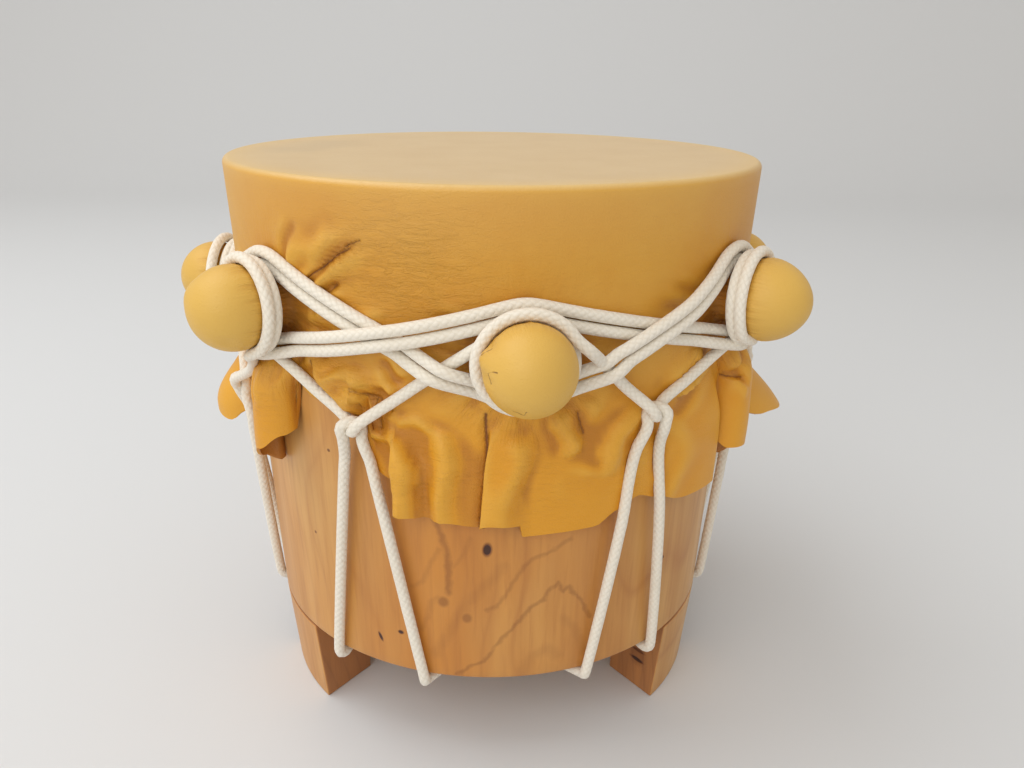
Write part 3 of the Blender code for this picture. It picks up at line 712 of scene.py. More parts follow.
def wrap_run(first, last, over, lifted):
    """The taut run of the wrap from one knob to the next, lifted where two of its runs cross."""
    length = np.hypot(*(last - first))
    stops = {0.0: CORD_SEAT, 1.0: CORD_SEAT}
    spread = (CROSSING_LOW if over else CROSSING_HIGH) / length
    stops[0.5 - spread] = stops[0.5 + spread] = CORD_SEAT + (0 if over else CORD_PITCH)
    if lifted:
        stops[LIFT_END] = stops[1 - LIFT_END] = CORD_SEAT
        for at in stops:
            stops[at] += CROSSING_PITCH * min(LIFT_SLOPE * at * (1 - at), 1)
    shares = sorted(stops)
    heights = [stops[share] for share in shares]
    for share, following in zip(list(shares), shares[1:]):
        extra = int((following - share) * length / RUN_STEP)
        shares += [share + (following - share) * (n + 1) / (extra + 1) for n in range(extra)]
    levels = np.interp(sorted(shares), sorted(stops), heights)
    return [(first + (last - first) * share, level) for share, level in zip(sorted(shares), levels)]


def wrap_cord_route():
    """Over one knob and under the next, four times round, so that it lies double everywhere."""
    count = len(KNOBS)
    total = 4 * count

    def radius_at(step):
        wide = (step % total < total // 2) == (step % 2 == 0)
        return WRAP_RADIUS + (CORD_PITCH if wide else 0)

    runs = []
    for step in range(total):
        centres = middle_of(KNOBS, WRAP_START + step), middle_of(KNOBS, WRAP_START + step + 1)
        runs.append(leaves(*centres, radius_at(step), radius_at(step + 1), step % 2 == 0))
    points = []
    for step in range(total):
        index = WRAP_START + step
        arriving = runs[step - 1][1]
        if step == 0:
            arriving = arriving - np.array([total // count * 2 * np.pi * ROUND, 0])
        bend = arc(middle_of(KNOBS, index), radius_at(step), arriving, runs[step][0])
        points += [laid(*flat, CORD_SEAT) for flat in bend]
        run = wrap_run(*runs[step], step % 2 == 0, step == total - 1)
        points += [laid(*flat, standoff) for flat, standoff in run[1:-1]]
    return points


FOOT_CORNERS = [polar(INNER_REACH, bearing + turn, 0)[:2]
                for bearing in FOOT_BEARINGS.values() for turn in (-INNER_SPREAD, INNER_SPREAD)]


def chord_plan(index):
    """The plan of the cord under the drum from one V to the third one on, bent round a foot in its way."""
    middle = np.array([AXIS.x, AXIS.y])
    start = polar(BASE_RADIUS, VALLEYS[index][3], 0)[:2]
    end = polar(BASE_RADIUS, VALLEYS[(index + LACING_SKIP) % len(VALLEYS)][2], 0)[:2]
    length = np.hypot(*(end - start))
    way = (end - start) / length
    square = np.array([-way[1], way[0]])
    if square @ (start - middle) > 0:
        square = -square
    room = CORD_SEAT + FACET_ROOM
    bends = []
    for corner in FOOT_CORNERS:
        clear = square @ (start - corner)
        if 0 < way @ (corner - start) < length and -FOOT_DEPTH / 2 < clear < room:
            bends.append(corner + square * room)
    return [start, *bends, end]


def hook(index):
    """The bend of the lacing over a V, from the left leg to the right one."""
    lifts = CORD_SEAT + CROSSING_PITCH * (0.5 - np.array(LACING_LIFTS) * VALLEY_HOOKS[index])
    flats = middle_of(VALLEYS, index) + HOOK_BEND * np.array(LACING_BEND)
    return [laid(*flat, lift) for flat, lift in zip(flats, lifts)]


def leg(index, side):
    """One leg of the lacing from the V to the bottom edge, the right one or, with side -1, the left one."""
    middle, drop, left, right = VALLEYS[index]
    bearing = middle + side * np.degrees(LEG_SPREAD / ROUND)
    foot_bearing = right if side > 0 else left
    bottom = HEIGHT - FOOT_HEIGHT
    top = drop + HOOK_EASE
    hem = max(around(CORD_HEM, bearing) + CORD_DIAMETER, top + CORD_DIAMETER)
    points = []
    for place in (top, hem, bottom):
        turn = bearing + (foot_bearing - bearing) * (place - top) / (bottom - top)
        height = HEIGHT - place
        below = max((place - hem) / (bottom - hem), 0)
        clear = HIDE_BUILD * (1 - below) + CORD_SEAT
        reach = wood_radius(height) + clear + (0 if below else skirt_reach(turn, place))
        points.append(polar(reach, turn, height))
    edge = CORD_SEAT * np.sqrt(0.5)
    points.append(polar(BASE_RADIUS + edge, foot_bearing, FOOT_HEIGHT - edge))
    return points


def chord(index, plans):
    """The cord under the drum, which passes near the wood and away from it in turn."""
    plan = plans[index]
    lengths = [0.0]
    for first, last in zip(plan, plan[1:]):
        lengths.append(lengths[-1] + np.hypot(*(last - first)))
    stops = [(length, 0) for length in lengths]
    for step, away in ((-2, 0), (-1, 1), (1, 0), (2, 1)):
        other = plans[(index + step) % len(plans)]
        for i, (first, last) in enumerate(zip(plan, plan[1:])):
            for other_first, other_last in zip(other, other[1:]):
                along, across = meeting(first, last, other_first, other_last)
                if 0 <= along <= 1 and 0 <= across <= 1:
                    place = lengths[i] + along * np.hypot(*(last - first))
                    stops += [(place - CHORD_HALF, away), (place + CHORD_HALF, away)]
    points = []
    for place, away in sorted(stops):
        i = max(n for n in range(len(plan) - 1) if lengths[n] <= place + 1e-9)
        share = (place - lengths[i]) / (lengths[i + 1] - lengths[i])
        spot = plan[i] + (plan[i + 1] - plan[i]) * share
        points.append(np.array([spot[0], spot[1], FOOT_HEIGHT - CORD_SEAT - away * CORD_PITCH]))
    return points


def lacing_cord_route():
    """From each V down the side, across the underside and up to the third V on."""
    count = len(VALLEYS)
    plans = [chord_plan(index) for index in range(count)]
    points = []
    index = 0
    for _ in range(count):
        points += hook(index) + leg(index, 1) + chord(index, plans)
        index = (index + LACING_SKIP) % count
        points += leg(index, -1)[::-1]
    return points


LINE_STEP = 0.0010
TANGENT_LIMIT = 2.5


def flowing(points):
    """A smooth closed line through the points, with its own points a millimetre apart."""
    knots = np.array(points)
    gaps = np.linalg.norm(np.roll(knots, -1, 0) - knots, axis=1)
    line = []
    for i, gap in enumerate(gaps):
        before, first, last, after = (knots[(i + step) % len(knots)] for step in (-1, 0, 1, 2))
        # The tangents of a rounded corner, kept short so that a taut run stays straight
        tangents = []
        for beside, step in ((gaps[i - 1], first - before), (gaps[(i + 1) % len(gaps)], after - last)):
            tangent = (last - first) / gap * beside + step / beside * gap
            tangents.append(tangent / (beside + gap) * min(gap, TANGENT_LIMIT * beside))
        steps = max(int(round(gap / LINE_STEP)), 1)
        t = (np.arange(steps) / steps)[:, None]
        line.append(first * (2 * t ** 3 - 3 * t ** 2 + 1) + tangents[0] * (t ** 3 - 2 * t ** 2 + t)
                    + last * (3 * t ** 2 - 2 * t ** 3) + tangents[1] * (t ** 3 - t ** 2))
    return np.concatenate(line)


def lifted_over(line, lower):
    """Lifts a taut cord clear of the cord that runs beneath it."""
    flat, under = unrolled(line), unrolled(lower)
    under = under[under[:, 2] < LOW_STANDOFF]
    gap = nearer_way(flat[:, None, 0] - under[None, :, 0])
    gap = np.hypot(gap, flat[:, None, 1] - under[None, :, 1])
    over = under[None, :, 2] + np.sqrt(np.maximum(CORD_PITCH ** 2 - gap ** 2, 0))
    need = np.where(gap < CORD_PITCH, over, 0).max(1)
    raised = need.copy()
    for step in range(1, 25):
        for shift in (-step, step):
            raised = np.maximum(raised, np.roll(need, shift) - LIFT_FALL * step * LINE_STEP)
    standoff = np.maximum(flat[:, 2], raised)
    for shift in (1, 2):
        standoff = (np.roll(standoff, shift) + np.roll(standoff, -shift) + 2 * standoff) / 4
    return laid(flat[:, 0], flat[:, 1], standoff)


def starting_behind(line, low=False):
    """The closed line, started behind the drum or, if low, under it, where its join is hidden."""
    out_of_sight = line[:, 2] if low else -line[:, 1] - 0.5 * line[:, 2]
    return np.roll(line, -int(np.argmin(out_of_sight)), 0)


knob_line = starting_behind(flowing(knob_cord_route()))
CORD_LINES = {"knob_cord": knob_line,
              "wrap_cord": starting_behind(lifted_over(flowing(wrap_cord_route()), knob_line)),
              "lacing_cord": starting_behind(flowing(lacing_cord_route()), low=True)}


# The hide: one soft tanned skin, wetted and stretched over the mouth. Balls are pushed up under it and
# tied off as knobs, and below the cord it hangs as a short cut skirt with pleats and curled flaps.
HIDE_COLUMNS = 560
HEAD_RINGS = 12
SHOULDER_STEPS = 7
HEAD_ROUNDING = 0.0027
ROWS_ABOVE = 16
ROWS_AT_KNOBS = 54
ROWS_BELOW = 42
INSIDE_EVERY = 4
KNOB_FIELD = 0.0215
KNOB_NECK_TAKEN = 0.74
CREASE_DEPTH = 0.0034
ROLL_HEIGHT = 0.0056
SKIRT_GAP = 0.0016
CORD_PRESS = 0.0024
# Bearing and drop of the cut edge, once round
CUT_EDGE = metres("dm", [
    (-66, 110), (-61, 126), (-57.3, 128.5), (-53, 124), (-47.8, 116.5), (-42, 109), (-38.5, 107),
    (-37.6, 85), (-34.8, 88), (-30.4, 91.5), (-25.5, 95.5), (-23.9, 100), (-23.2, 115), (-20, 118.5),
    (-18.6, 120), (-17.6, 130.5), (-14, 133.5), (-10, 134.5), (-5, 136.8), (-2, 136.8), (0.8, 134.5),
    (5.5, 136.2), (6, 141.8), (13.2, 141.4), (21, 141), (25.8, 135.5), (31, 131), (36, 134.5), (44, 140),
    (49.5, 140.5), (51.5, 118.5), (56, 124), (62, 124.5), (66, 130), (70, 135.5), (73, 134), (76, 115),
    (80, 120), (84, 122.5), (90, 120), (96, 106), (108, 106), (118, 111), (128, 108), (136, 106),
    (144, 127), (152, 132), (164, 130), (172, 123), (179, 108), (188, 104), (196, 122), (204, 129),
    (214, 131), (224, 127), (231, 108), (238, 102), (247, 106), (256, 106), (264, 110), (270, 118),
    (276, 122.5), (282, 127), (286, 118), (289, 108)])
# Hollow flutes that hang below the knobs: bearing, half width in degrees, radius, share of a full circle
# that the roll turns, lean in degrees, and the drops where it starts and is full
FLUTES = metres("ddmddmm", [
    (-47.8, 9.5, 10.4, 0.58, -6, 64, 92), (61, 9, 9.8, 0.6, 2, 64, 92), (84.5, 9, 28.5, 0.54, 0, 83, 134),
    (112, 8.5, 8.5, 0.56, 0, 68, 94), (157, 10, 8.5, 0.58, -12, 70, 104), (214, 10, 8.5, 0.58, 12, 72, 106),
    (253, 9, 8.5, 0.58, 0, 68, 96), (277.5, 8.5, 16.5, 0.55, 0, 82, 122)])
# Places where one layer lies over the next: bearing and drop of both ends, half width, how far it folds
# back, height. The layer to the left of the way from the first end to the second is the upper one.
OVERLAPS = metres("dmdmmdm", [
    (-0.1, 86, -2.2, 145, 3.6, 1.9, 3.4), (-18.4, 93, -17.6, 145, 3.4, 1.8, 3),
    (50, 150, 48.5, 80, 4.6, 1.9, 4.2), (-35, 72, -25.2, 96, 3.2, 1.9, 3.8),
    (-40, 73, -31.5, 93, 2.6, 1.6, 2), (37, 91.5, 48.5, 79, 3.2, 1.9, 3.6),
    (126, 120, 124.5, 84, 3.4, 1.8, 3), (171, 85, 173.5, 140, 3.8, 1.8, 3.2),
    (201, 140, 203, 86, 3.6, 1.8, 3.2), (240, 130, 241.5, 84, 3.4, 1.8, 3)])
# Rolls (above zero) and creases (below zero): bearing and drop of both ends, height, half width
FOLDS = metres("dmdmmm", [
    (-40.5, 37, -29, 17.5, 1.6, 4), (-37, 43, -24, 22.5, -2.2, 1.9), (-36.5, 47.5, -27.5, 30, 1.6, 3),
    (-36, 51.5, -28.5, 37.5, -1.7, 1.8), (-42, 34, -38.5, 17, -0.8, 2), (-32.5, 52, -19, 52, 1.2, 3.6),
    (-19, 80, -28.5, 83.5, -1.2, 1.8), (-19.5, 80.5, -26, 89.5, -1.2, 1.8), (-25, 70, -28.5, 83, -1, 1.8),
    (-29, 73.5, -24, 84, 3, 4.6), (-21.4, 69, -16, 76.5, -1.8, 2), (-21.8, 83.8, -27.5, 80, -1.6, 1.7),
    (-21.8, 83.8, -25.5, 89, -1.5, 1.7), (-21.8, 83.8, -18.5, 88.5, -1.5, 1.7),
    (-21.8, 83.8, -17.5, 82, -1.3, 1.7), (-21.6, 86, -20.6, 99, -2, 2), (-24, 96.5, -17, 103.5, 3, 3),
    (-17.4, 102, -14.6, 120, 3.2, 3.4), (52, 88.5, 60, 90.5, -2.6, 2.4), (13, 88, 14.5, 106, 2, 3.6),
    (17.8, 98, 21.6, 116, -1.8, 2.6), (-17, 98, -16.4, 142, 4, 3.4), (-13, 95, -13.2, 142, -2, 3.4),
    (-9.4, 96, -9.2, 142, 2.6, 4.2), (-21.5, 84, -15.5, 88.5, -1.2, 1.8), (-17.5, 90.5, -11, 95, 1.6, 2.6),
    (-13, 89, -5, 93.5, -0.9, 1.8), (-5.5, 92, -5.5, 118, -1.2, 3), (3.5, 96, 3, 142, 2, 5.4),
    (10, 96, 9, 130, -1, 4.4), (15.6, 85, 18, 99, -2.4, 2.4), (13, 86, 13.8, 108, 1.2, 3.4),
    (30.5, 88, 20.5, 116, 2.8, 4.8), (25, 88, 14.5, 110, -1.6, 3.6), (33.5, 96, 32, 130, -1.8, 3.4),
    (40, 98, 41, 142, 1.6, 5), (45, 84, 39, 98, -1.2, 1.9), (-50.5, 78, -49.5, 98, -1, 2),
    (60, 76, 57.5, 90, -1.4, 2)])
GATHERS_PER_KNOB = 11
GATHER_START = 0.0180

rng = np.random.default_rng(11)
for bearing, drop in KNOBS:
    for number in range(GATHERS_PER_KNOB):
        # They fan out below the knob and to both sides, and the hide above stays smooth
        angle = np.radians(-205 + 230 * (number + 0.6 * rng.random()) / GATHERS_PER_KNOB)
        far = GATHER_START + 0.012 + 0.014 * rng.random()
        ends = [place for reach in (GATHER_START, far) for place in
                (bearing + np.degrees(reach * np.cos(angle) / ROUND), drop - reach * np.sin(angle))]
        FOLDS.append((*ends, -0.0004 - 0.0007 * rng.random(), 0.0018 + 0.0006 * rng.random()))


# Fields of fine wrinkles, with painted shade between them: bearing, drop, half width in degrees, half height
# and strength
WRINKLED = metres("dmdmd", [
    (-17, 32, 14, 22, 1), (-12, 112, 11, 22, 0.35), (9, 115, 12, 22, 0.3), (30, 110, 14, 24, 0.25),
    (-30, 82, 9, 12, 0.8), (82, 35, 14, 20, 0.8), (150, 40, 16, 22, 0.7), (235, 36, 15, 22, 0.9),
    (-48, 100, 8, 20, 0.4)])
# A faint grey smear on the head
STAIN_ENDS = [np.array([AXIS.x + x, AXIS.y + y, HEIGHT]) for x, y in ((-0.094, -0.004), (-0.082, 0.036))]
HEAD_STAIN = [(0.0200, 0.22, STAIN_ENDS)]
# Sharp creases, with bearings and drops, each drawn as a dark line of painted shade
SHARP_CREASES = drawn([
    (0.42, 0.8, -35.5, 39.3, -33.2, 35.7, -31.4, 33.5, -28.7, 28.8, -25.4, 25.1),
    (0.32, 0.6, -26.4, 24.9, -25.1, 23.2, -23.3, 21.7), (0.6, 0.6, -31.3, 45, -29, 40),
    (0.95, 0.85, -1.2, 87, -2.35, 110, -3.4, 137.5), (0.45, 0.6, -35, 73, -30.9, 86, -25, 93.5),
    (0.35, 0.45, -26.5, 80.5, -22, 83.8, -18.8, 88), (0.34, 0.4, -22, 83.8, -21.2, 96),
    (0.45, 0.6, 16, 88, 17.3, 97.2), (0.5, 0.65, 53, 89, 58.5, 90.5)])
# The soft valley that each of them lies in, as so many of its half widths, lightly darkened with painted
# shade
VALLEY_WIDTH = 3.4
# Creases on the front knob, then lumps on each knob: places across and above the knob's middle on the
# rolled-out side, height and half width
# The creases on the front knob are drawn as dark lines of painted shade
KNOB_CREASES = drawn([
    (0.18, 0.7, 2.61, 61.1, 2.25, 61.2, 1.88, 61.6, 1.82, 62.6, 2.05, 63.4),
    (0.17, 0.62, 3.16, 66.4, 3.55, 66.8, 3.98, 67.9, 4.73, 68.1, 4.95, 66.9),
    (0.22, 0.6, 1, 58.8, 1.65, 57.2)])
KNOB_LUMPS = {0: [(-9.8, 3, 1.9, 2.1), (-8.2, -0.4, -1.1, 1), (-8.4, 6.2, -1, 1.1), (-3, -5.4, -0.8, 1.1)],
              1: [(5, -4, 0.9, 2.2)], 6: [(-4, 3, 1, 2.4), (5.2, -5, -0.7, 1.4)]}
# How much each knob draws to a point
KNOB_POINTS = [0.02, 0.11, 0.05, 0.02, 0.06, 0.03, 0.02]


def rise(value):
    """A smooth step from 0 to 1."""
    value = np.clip(value, 0, 1)
    return value * value * (3 - 2 * value)


def turned_away(bearings, bearing):
    """How far round each bearing lies from one bearing, from -180 to 180."""
    return (bearings - bearing + 180) % 360 - 180


def side_columns():
    """Bearings of the hide's columns, closer together at the knobs, flutes and overlaps."""
    bearings = np.linspace(-180, 180, 7201)
    closeness = np.full(len(bearings), 1.0)
    closer = [(bearing, 1.7, 6.0) for bearing, _ in KNOBS]
    closer += [(bearing, 0.8, half) for bearing, half, *_ in FLUTES]
    closer += [((bearing + last_bearing) / 2, 1.3, 2.5) for bearing, _, last_bearing, *_ in OVERLAPS]
    for bearing, amount, half in closer:
        closeness += amount * np.exp(-(turned_away(bearings, bearing) / half) ** 2)
    grown = np.concatenate([[0], np.cumsum((closeness[1:] + closeness[:-1]) / 2)])
    return np.interp(np.arange(HIDE_COLUMNS) / HIDE_COLUMNS * grown[-1], grown, bearings)


def beside_line(u, v, ends):
    """Where points of the rolled-out side lie against a line: along it as a share, and off to its left."""
    first, last = flat_place(*ends[:2]), flat_place(*ends[2:])
    away = nearer_way(u - first[0])
    length = np.hypot(*(last - first))
    way = (last - first) / length
    along = (away * way[0] + (v - first[1]) * way[1]) / length
    return along, (v - first[1]) * way[0] - away * way[1], way


def folded(u, v):
    """The height that the rolls and creases add."""
    height = np.zeros_like(u)
    for *ends, rises, half in FOLDS:
        along, off, _ = beside_line(u, v, ends)
        off = off + 0.6 * half * np.sin(along * 6 + ends[0])
        fade = rise((along + 0.06) * 5) * rise((1.06 - along) * 3.5)
        line = np.exp(-(off / half) ** 2)
        if rises < 0:
            # A crease throws up a low ridge on both sides
            line = line - 0.45 * np.exp(-((np.abs(off) - 2.3 * half) / (1.5 * half)) ** 2)
        height += rises * fade * line
    return height


def overlapped(u, v):
    """Moves points over each other where one layer lies on the next, and gives new places and heights."""
    height = np.zeros_like(u)
    moved_u, moved_v = u.copy(), v.copy()
    for *ends, half, back, lift in OVERLAPS:
        along, off, way = beside_line(u, v, ends)
        off = off / half
        fade = rise((along + 0.02) * 3.2) * rise((1.02 - along) * 3.2)
        if min(ends[1], ends[3]) < max(ends[1], ends[3]) - 0.03:
            # It runs out at the cut edge, so only its upper end fades
            fade = rise((along + 0.02) * 2.4) if ends[1] < ends[3] else rise((1.02 - along) * 2.4)
        shift = -off * half * back * np.exp(-off * off) * fade
        moved_u += -way[1] * shift
        moved_v += way[0] * shift
        height += lift * fade * rise((off + 0.75) / 1.4) * np.exp(-(np.maximum(off - 0.6, 0) / 3.2) ** 2)
    return moved_u, moved_v, height


def fluted(u, drops):
    """Sideways move and outward reach of the hollow flutes."""
    across, out = np.zeros_like(u), np.zeros_like(u)
    bearings = np.degrees(u / ROUND)
    for bearing, half, radius, turn, lean, start, full in FLUTES:
        away = turned_away(bearings, bearing)
        x = away / half
        angle = np.pi * turn * np.clip(x, -1, 1)
        wide = radius * np.sin(angle)
        high = radius * (np.cos(angle) - np.cos(np.pi * turn))
        # Beside the roll the hide comes back to its own place
        over = np.clip(np.abs(x) - 1, 0, 1.3) / 1.3
        own = np.radians(away) * ROUND
        end = radius * np.sin(np.pi * turn) * np.sign(x)
        beside = end + (own - end) * rise(over) ** 0.7
        wide = np.where(np.abs(x) <= 1, wide, np.where(over < 1, beside, own))
        leaned = np.radians(lean) * (high > 0)
        wide = wide + high * np.sin(leaned)
        grown = rise((drops - start) / (full - start)) * (np.abs(x) < 2.3)
        across += (wide - own) * grown
        out += high * grown
    return across, out


def hide_places(bearings, drops):
    """The outer face of the hide at these bearings and drops: side, knobs, folds, overlaps and flutes."""
    u, v = np.radians(bearings) * ROUND, -drops
    across, out = fluted(u, drops)
    moved_u, moved_v, laid_over = overlapped(u, v)
    height = laid_over + np.clip(1.25 * folded(u, v), -CREASE_DEPTH, ROLL_HEIGHT)
    low = np.where(drops > 0.085, HIDE_THICKNESS * 0.2, -0.0011)
    moved = np.degrees((moved_u + across) / ROUND)
    radius = wood_radius(HEIGHT + moved_v) + HIDE_BUILD + out + np.maximum(height, low - out * 0.6)
    # The skirt hangs a little away from the wood
    radius = radius + SKIRT_GAP * rise((drops - 0.088) / 0.03)
    places = polar(radius, moved, HEIGHT + moved_v)
    for number, (bearing, drop) in enumerate(KNOBS):
        start, outward, sideways = knob_place(bearing, drop)
        x = np.radians(turned_away(bearings, bearing)) * ROUND
        y = drop - drops
        taken = np.hypot(x, y) / KNOB_FIELD
        mine = taken < 1
        if not mine.any():
            continue
        spin = np.arctan2(y, x)[mine]
        taken = taken[mine]
        last_bend = np.pi - np.arcsin(NECK_RADIUS / KNOB_RADIUS)
        bend = np.minimum(taken / KNOB_NECK_TAKEN, 1) * last_bend
        point = np.maximum(np.cos(bend), 0) * KNOB_POINTS[number]
        out_ball = BALL_STANDOFF + KNOB_RADIUS * np.cos(bend) + 0.006 * point ** 2
        wide_ball = KNOB_RADIUS * np.sin(bend) * (1 - point)
        for lump_across, lump_up, rises, half in metres("mmmm", KNOB_LUMPS.get(number, ())):
            lump = rises * np.exp(-((x[mine] - lump_across) ** 2 + (y[mine] - lump_up) ** 2) / half ** 2)
            out_ball = out_ball + lump * np.cos(bend)
            wide_ball = wide_ball + lump * np.sin(bend)
        rest = np.clip((taken - KNOB_NECK_TAKEN) / (1 - KNOB_NECK_TAKEN), 0, 1)
        neck_out = BALL_STANDOFF + KNOB_RADIUS * np.cos(last_bend)
        # From the neck the hide runs down the side of the knob and turns out on to the drum
        down = np.clip(rest / 0.55, 0, 1)
        out_neck = neck_out * (1 - down) ** 1.3
        away = np.clip((rest - 0.35) / 0.65, 0, 1)
        wide_neck = NECK_RADIUS - 0.0007 * np.sin(np.pi * down) + (KNOB_FIELD - NECK_RADIUS) * away ** 1.5
        standoff = np.where(taken < KNOB_NECK_TAKEN, out_ball, out_neck)
        wide = np.where(taken < KNOB_NECK_TAKEN, wide_ball, wide_neck)
        # Tucks that run in under the cord
        tucks = np.cos(11 * spin + number + 0.8 * np.sin(3 * spin)) * 0.6
        tucks = tucks + np.cos(19 * spin + 2.3 * number) * 0.4
        tucked = rise((taken - 0.50) / 0.22) * np.clip((1 - taken) / 0.3, 0, 1)
        wide = wide * (1 - 0.05 * np.maximum(tucks, -0.2) * tucked)
        on_ball = start + outward * standoff[:, None] + (
            sideways * (wide * np.cos(spin))[:, None] + UP * (wide * np.sin(spin))[:, None])
        side = bearing + np.degrees(wide * np.cos(spin) / ROUND)
        side_drop = drop - wide * np.sin(spin)
        on_side = polar(wood_radius(HEIGHT - side_drop) + HIDE_BUILD + standoff, side, HEIGHT - side_drop)
        settle = rise((0.0085 - standoff) / 0.0065)[:, None]
        shaped = on_ball * (1 - settle) + on_side * settle
        meet = np.clip((taken - 0.93) / 0.07, 0, 1)[:, None]
        places[mine] = shaped * (1 - meet) + places[mine] * meet
    return places


def side_drops(bearings):
    """Rows of drops down the side, one array of columns each, closest together across the knobs."""
    level = around(sorted(KNOBS), bearings)
    edge = around(CUT_EDGE, bearings)
    half = KNOB_FIELD * 0.92
    start = np.minimum(level + half, edge - 0.002)
    above, at_knobs = (np.linspace(0, 1, rows + 1)[:-1] for rows in (ROWS_ABOVE, ROWS_AT_KNOBS))
    return ([HEAD_ROUNDING + (level - half - HEAD_ROUNDING) * share for share in above]
            + [np.minimum(level - half + 2 * half * share, edge) for share in at_knobs]
            + [start + (edge - start) * share for share in np.linspace(0, 1, ROWS_BELOW + 1)])


def pressed(places, deepest):
    """Moves points of the hide in from under the cords that lie on it."""
    lines = np.concatenate(list(CORD_LINES.values()))
    tree = KDTree(len(lines))
    for number, point in enumerate(lines):
        tree.insert(point, number)
    tree.balance()
    for number, place in enumerate(places):
        near, _, gap = tree.find(place)
        if gap > CORD_RADIUS * 1.5:
            continue
        out = np.array([place[0] - AXIS.x, place[1] - AXIS.y, 0])
        out /= np.hypot(out[0], out[1])
        offset = place - np.array(near)
        square = offset - out * (offset @ out)
        room = CORD_RADIUS ** 2 - square @ square
        if room <= 0:
            continue
        want, now = -np.sqrt(room), offset @ out
        if now > want:
            places[number] = place + out * max(want - now, -deepest)
    return places


def grid_normals(grid):
    """Normals of a grid of rows and columns that closes on itself sideways."""
    down = np.gradient(grid, axis=0)
    along = np.roll(grid, -1, 1) - np.roll(grid, 1, 1)
    normals = np.cross(down, along)
    return normals / np.maximum(np.linalg.norm(normals, axis=2, keepdims=True), 1e-12)


bearings = side_columns()
drops = side_drops(bearings)
shoulder = float(side_radius(0, HEAD_ROUNDING))
head_rows = [polar((shoulder - HEAD_ROUNDING) * share, bearings, HEIGHT)
             for share in np.linspace(0.12, 1, HEAD_RINGS)]
for bend in np.radians(np.linspace(90 / SHOULDER_STEPS, 90, SHOULDER_STEPS)[:-1]):
    reach = shoulder - HEAD_ROUNDING * (1 - np.sin(bend))
    head_rows.append(polar(reach, bearings, HEIGHT - HEAD_ROUNDING * (1 - np.cos(bend))))
side_grid = np.stack([hide_places(bearings, row) for row in drops])
side_grid = pressed(side_grid.reshape(-1, 3), CORD_PRESS).reshape(side_grid.shape)
outer = np.concatenate([np.stack(head_rows), side_grid])
normals = grid_normals(outer)
depth = np.array([0, *range(1, len(outer) - 1, INSIDE_EVERY), len(outer) - 1])
inner = (outer - normals * HIDE_THICKNESS)[depth]
across = inner[..., :2] - np.array([AXIS.x, AXIS.y])
room = np.hypot(across[..., 0], across[..., 1])
under_head = inner[..., 2] < HEIGHT - HIDE_THICKNESS * 1.5
least = wood_radius(inner[..., 2]) + CLEARANCE / 2
wanted = np.where(under_head & (room < least + HIDE_THICKNESS * 1.5), least, room)
# The inner face has fewer rows, so it is drawn in wherever it would bridge a crease of the outer one
outer_reach = np.hypot(outer[..., 0] - AXIS.x, outer[..., 1] - AXIS.y)
too_far = np.zeros(wanted.shape)
for number, (upper, lower) in enumerate(zip(depth, depth[1:])):
    share = ((np.arange(upper, lower + 1) - upper) / (lower - upper))[:, None]
    bridge = wanted[number] * (1 - share) + wanted[number + 1] * share
    over = (bridge - outer_reach[upper:lower + 1] + HIDE_THICKNESS * 0.5).max(0)
    too_far[number] = np.maximum(too_far[number], over)
    too_far[number + 1] = np.maximum(too_far[number + 1], over)
all_drops = np.concatenate([np.zeros((len(head_rows), HIDE_COLUMNS)), np.stack(drops)])
for bearing, drop in KNOBS:
    gap = np.radians(turned_away(bearings, bearing))[None] * ROUND
    too_far *= np.hypot(gap, all_drops[depth] - drop) > KNOB_FIELD
wanted = np.where(under_head, np.maximum(wanted - too_far, least), wanted)
inner[..., :2] = np.array([AXIS.x, AXIS.y]) + across * (wanted / room)[..., None]

# How hollow the hide is at each point, for the painted shade that darkens its creases and the painted
# highlight on its ridges
HOLLOW_STEPS = (2, 4)
hollow = np.zeros(outer.shape[:2])
for step in HOLLOW_STEPS:
    beside = (np.roll(outer, step, 1) + np.roll(outer, -step, 1)) / 2 - outer
    above = outer.copy()
    above[step:-step] = (outer[2 * step:] + outer[:-2 * step]) / 2
    hollow += np.einsum("rck,rck->rc", beside + above - outer, normals) / step
for _ in range(2):
    hollow[1:-1] = (hollow[2:] + hollow[:-2] + hollow[1:-1] * 2) / 4
    hollow = (np.roll(hollow, 1, 1) + np.roll(hollow, -1, 1) + hollow * 2) / 4

places = np.concatenate([outer.reshape(-1, 3), inner[::-1].reshape(-1, 3),
                         [(AXIS.x, AXIS.y, HEIGHT), (AXIS.x, AXIS.y, HEIGHT - HIDE_THICKNESS)]])
row_count = len(outer) + len(inner)
faces = ring_faces(row_count, HIDE_COLUMNS)
top_pole = row_count * HIDE_COLUMNS
for column in range(HIDE_COLUMNS):
    beside = (column + 1) % HIDE_COLUMNS
    faces.append((top_pole, column, beside))
    last = (row_count - 1) * HIDE_COLUMNS
    faces.append((top_pole + 1, last + beside, last + column))
hide = closed_mesh("tied_hide", places, faces, 80)

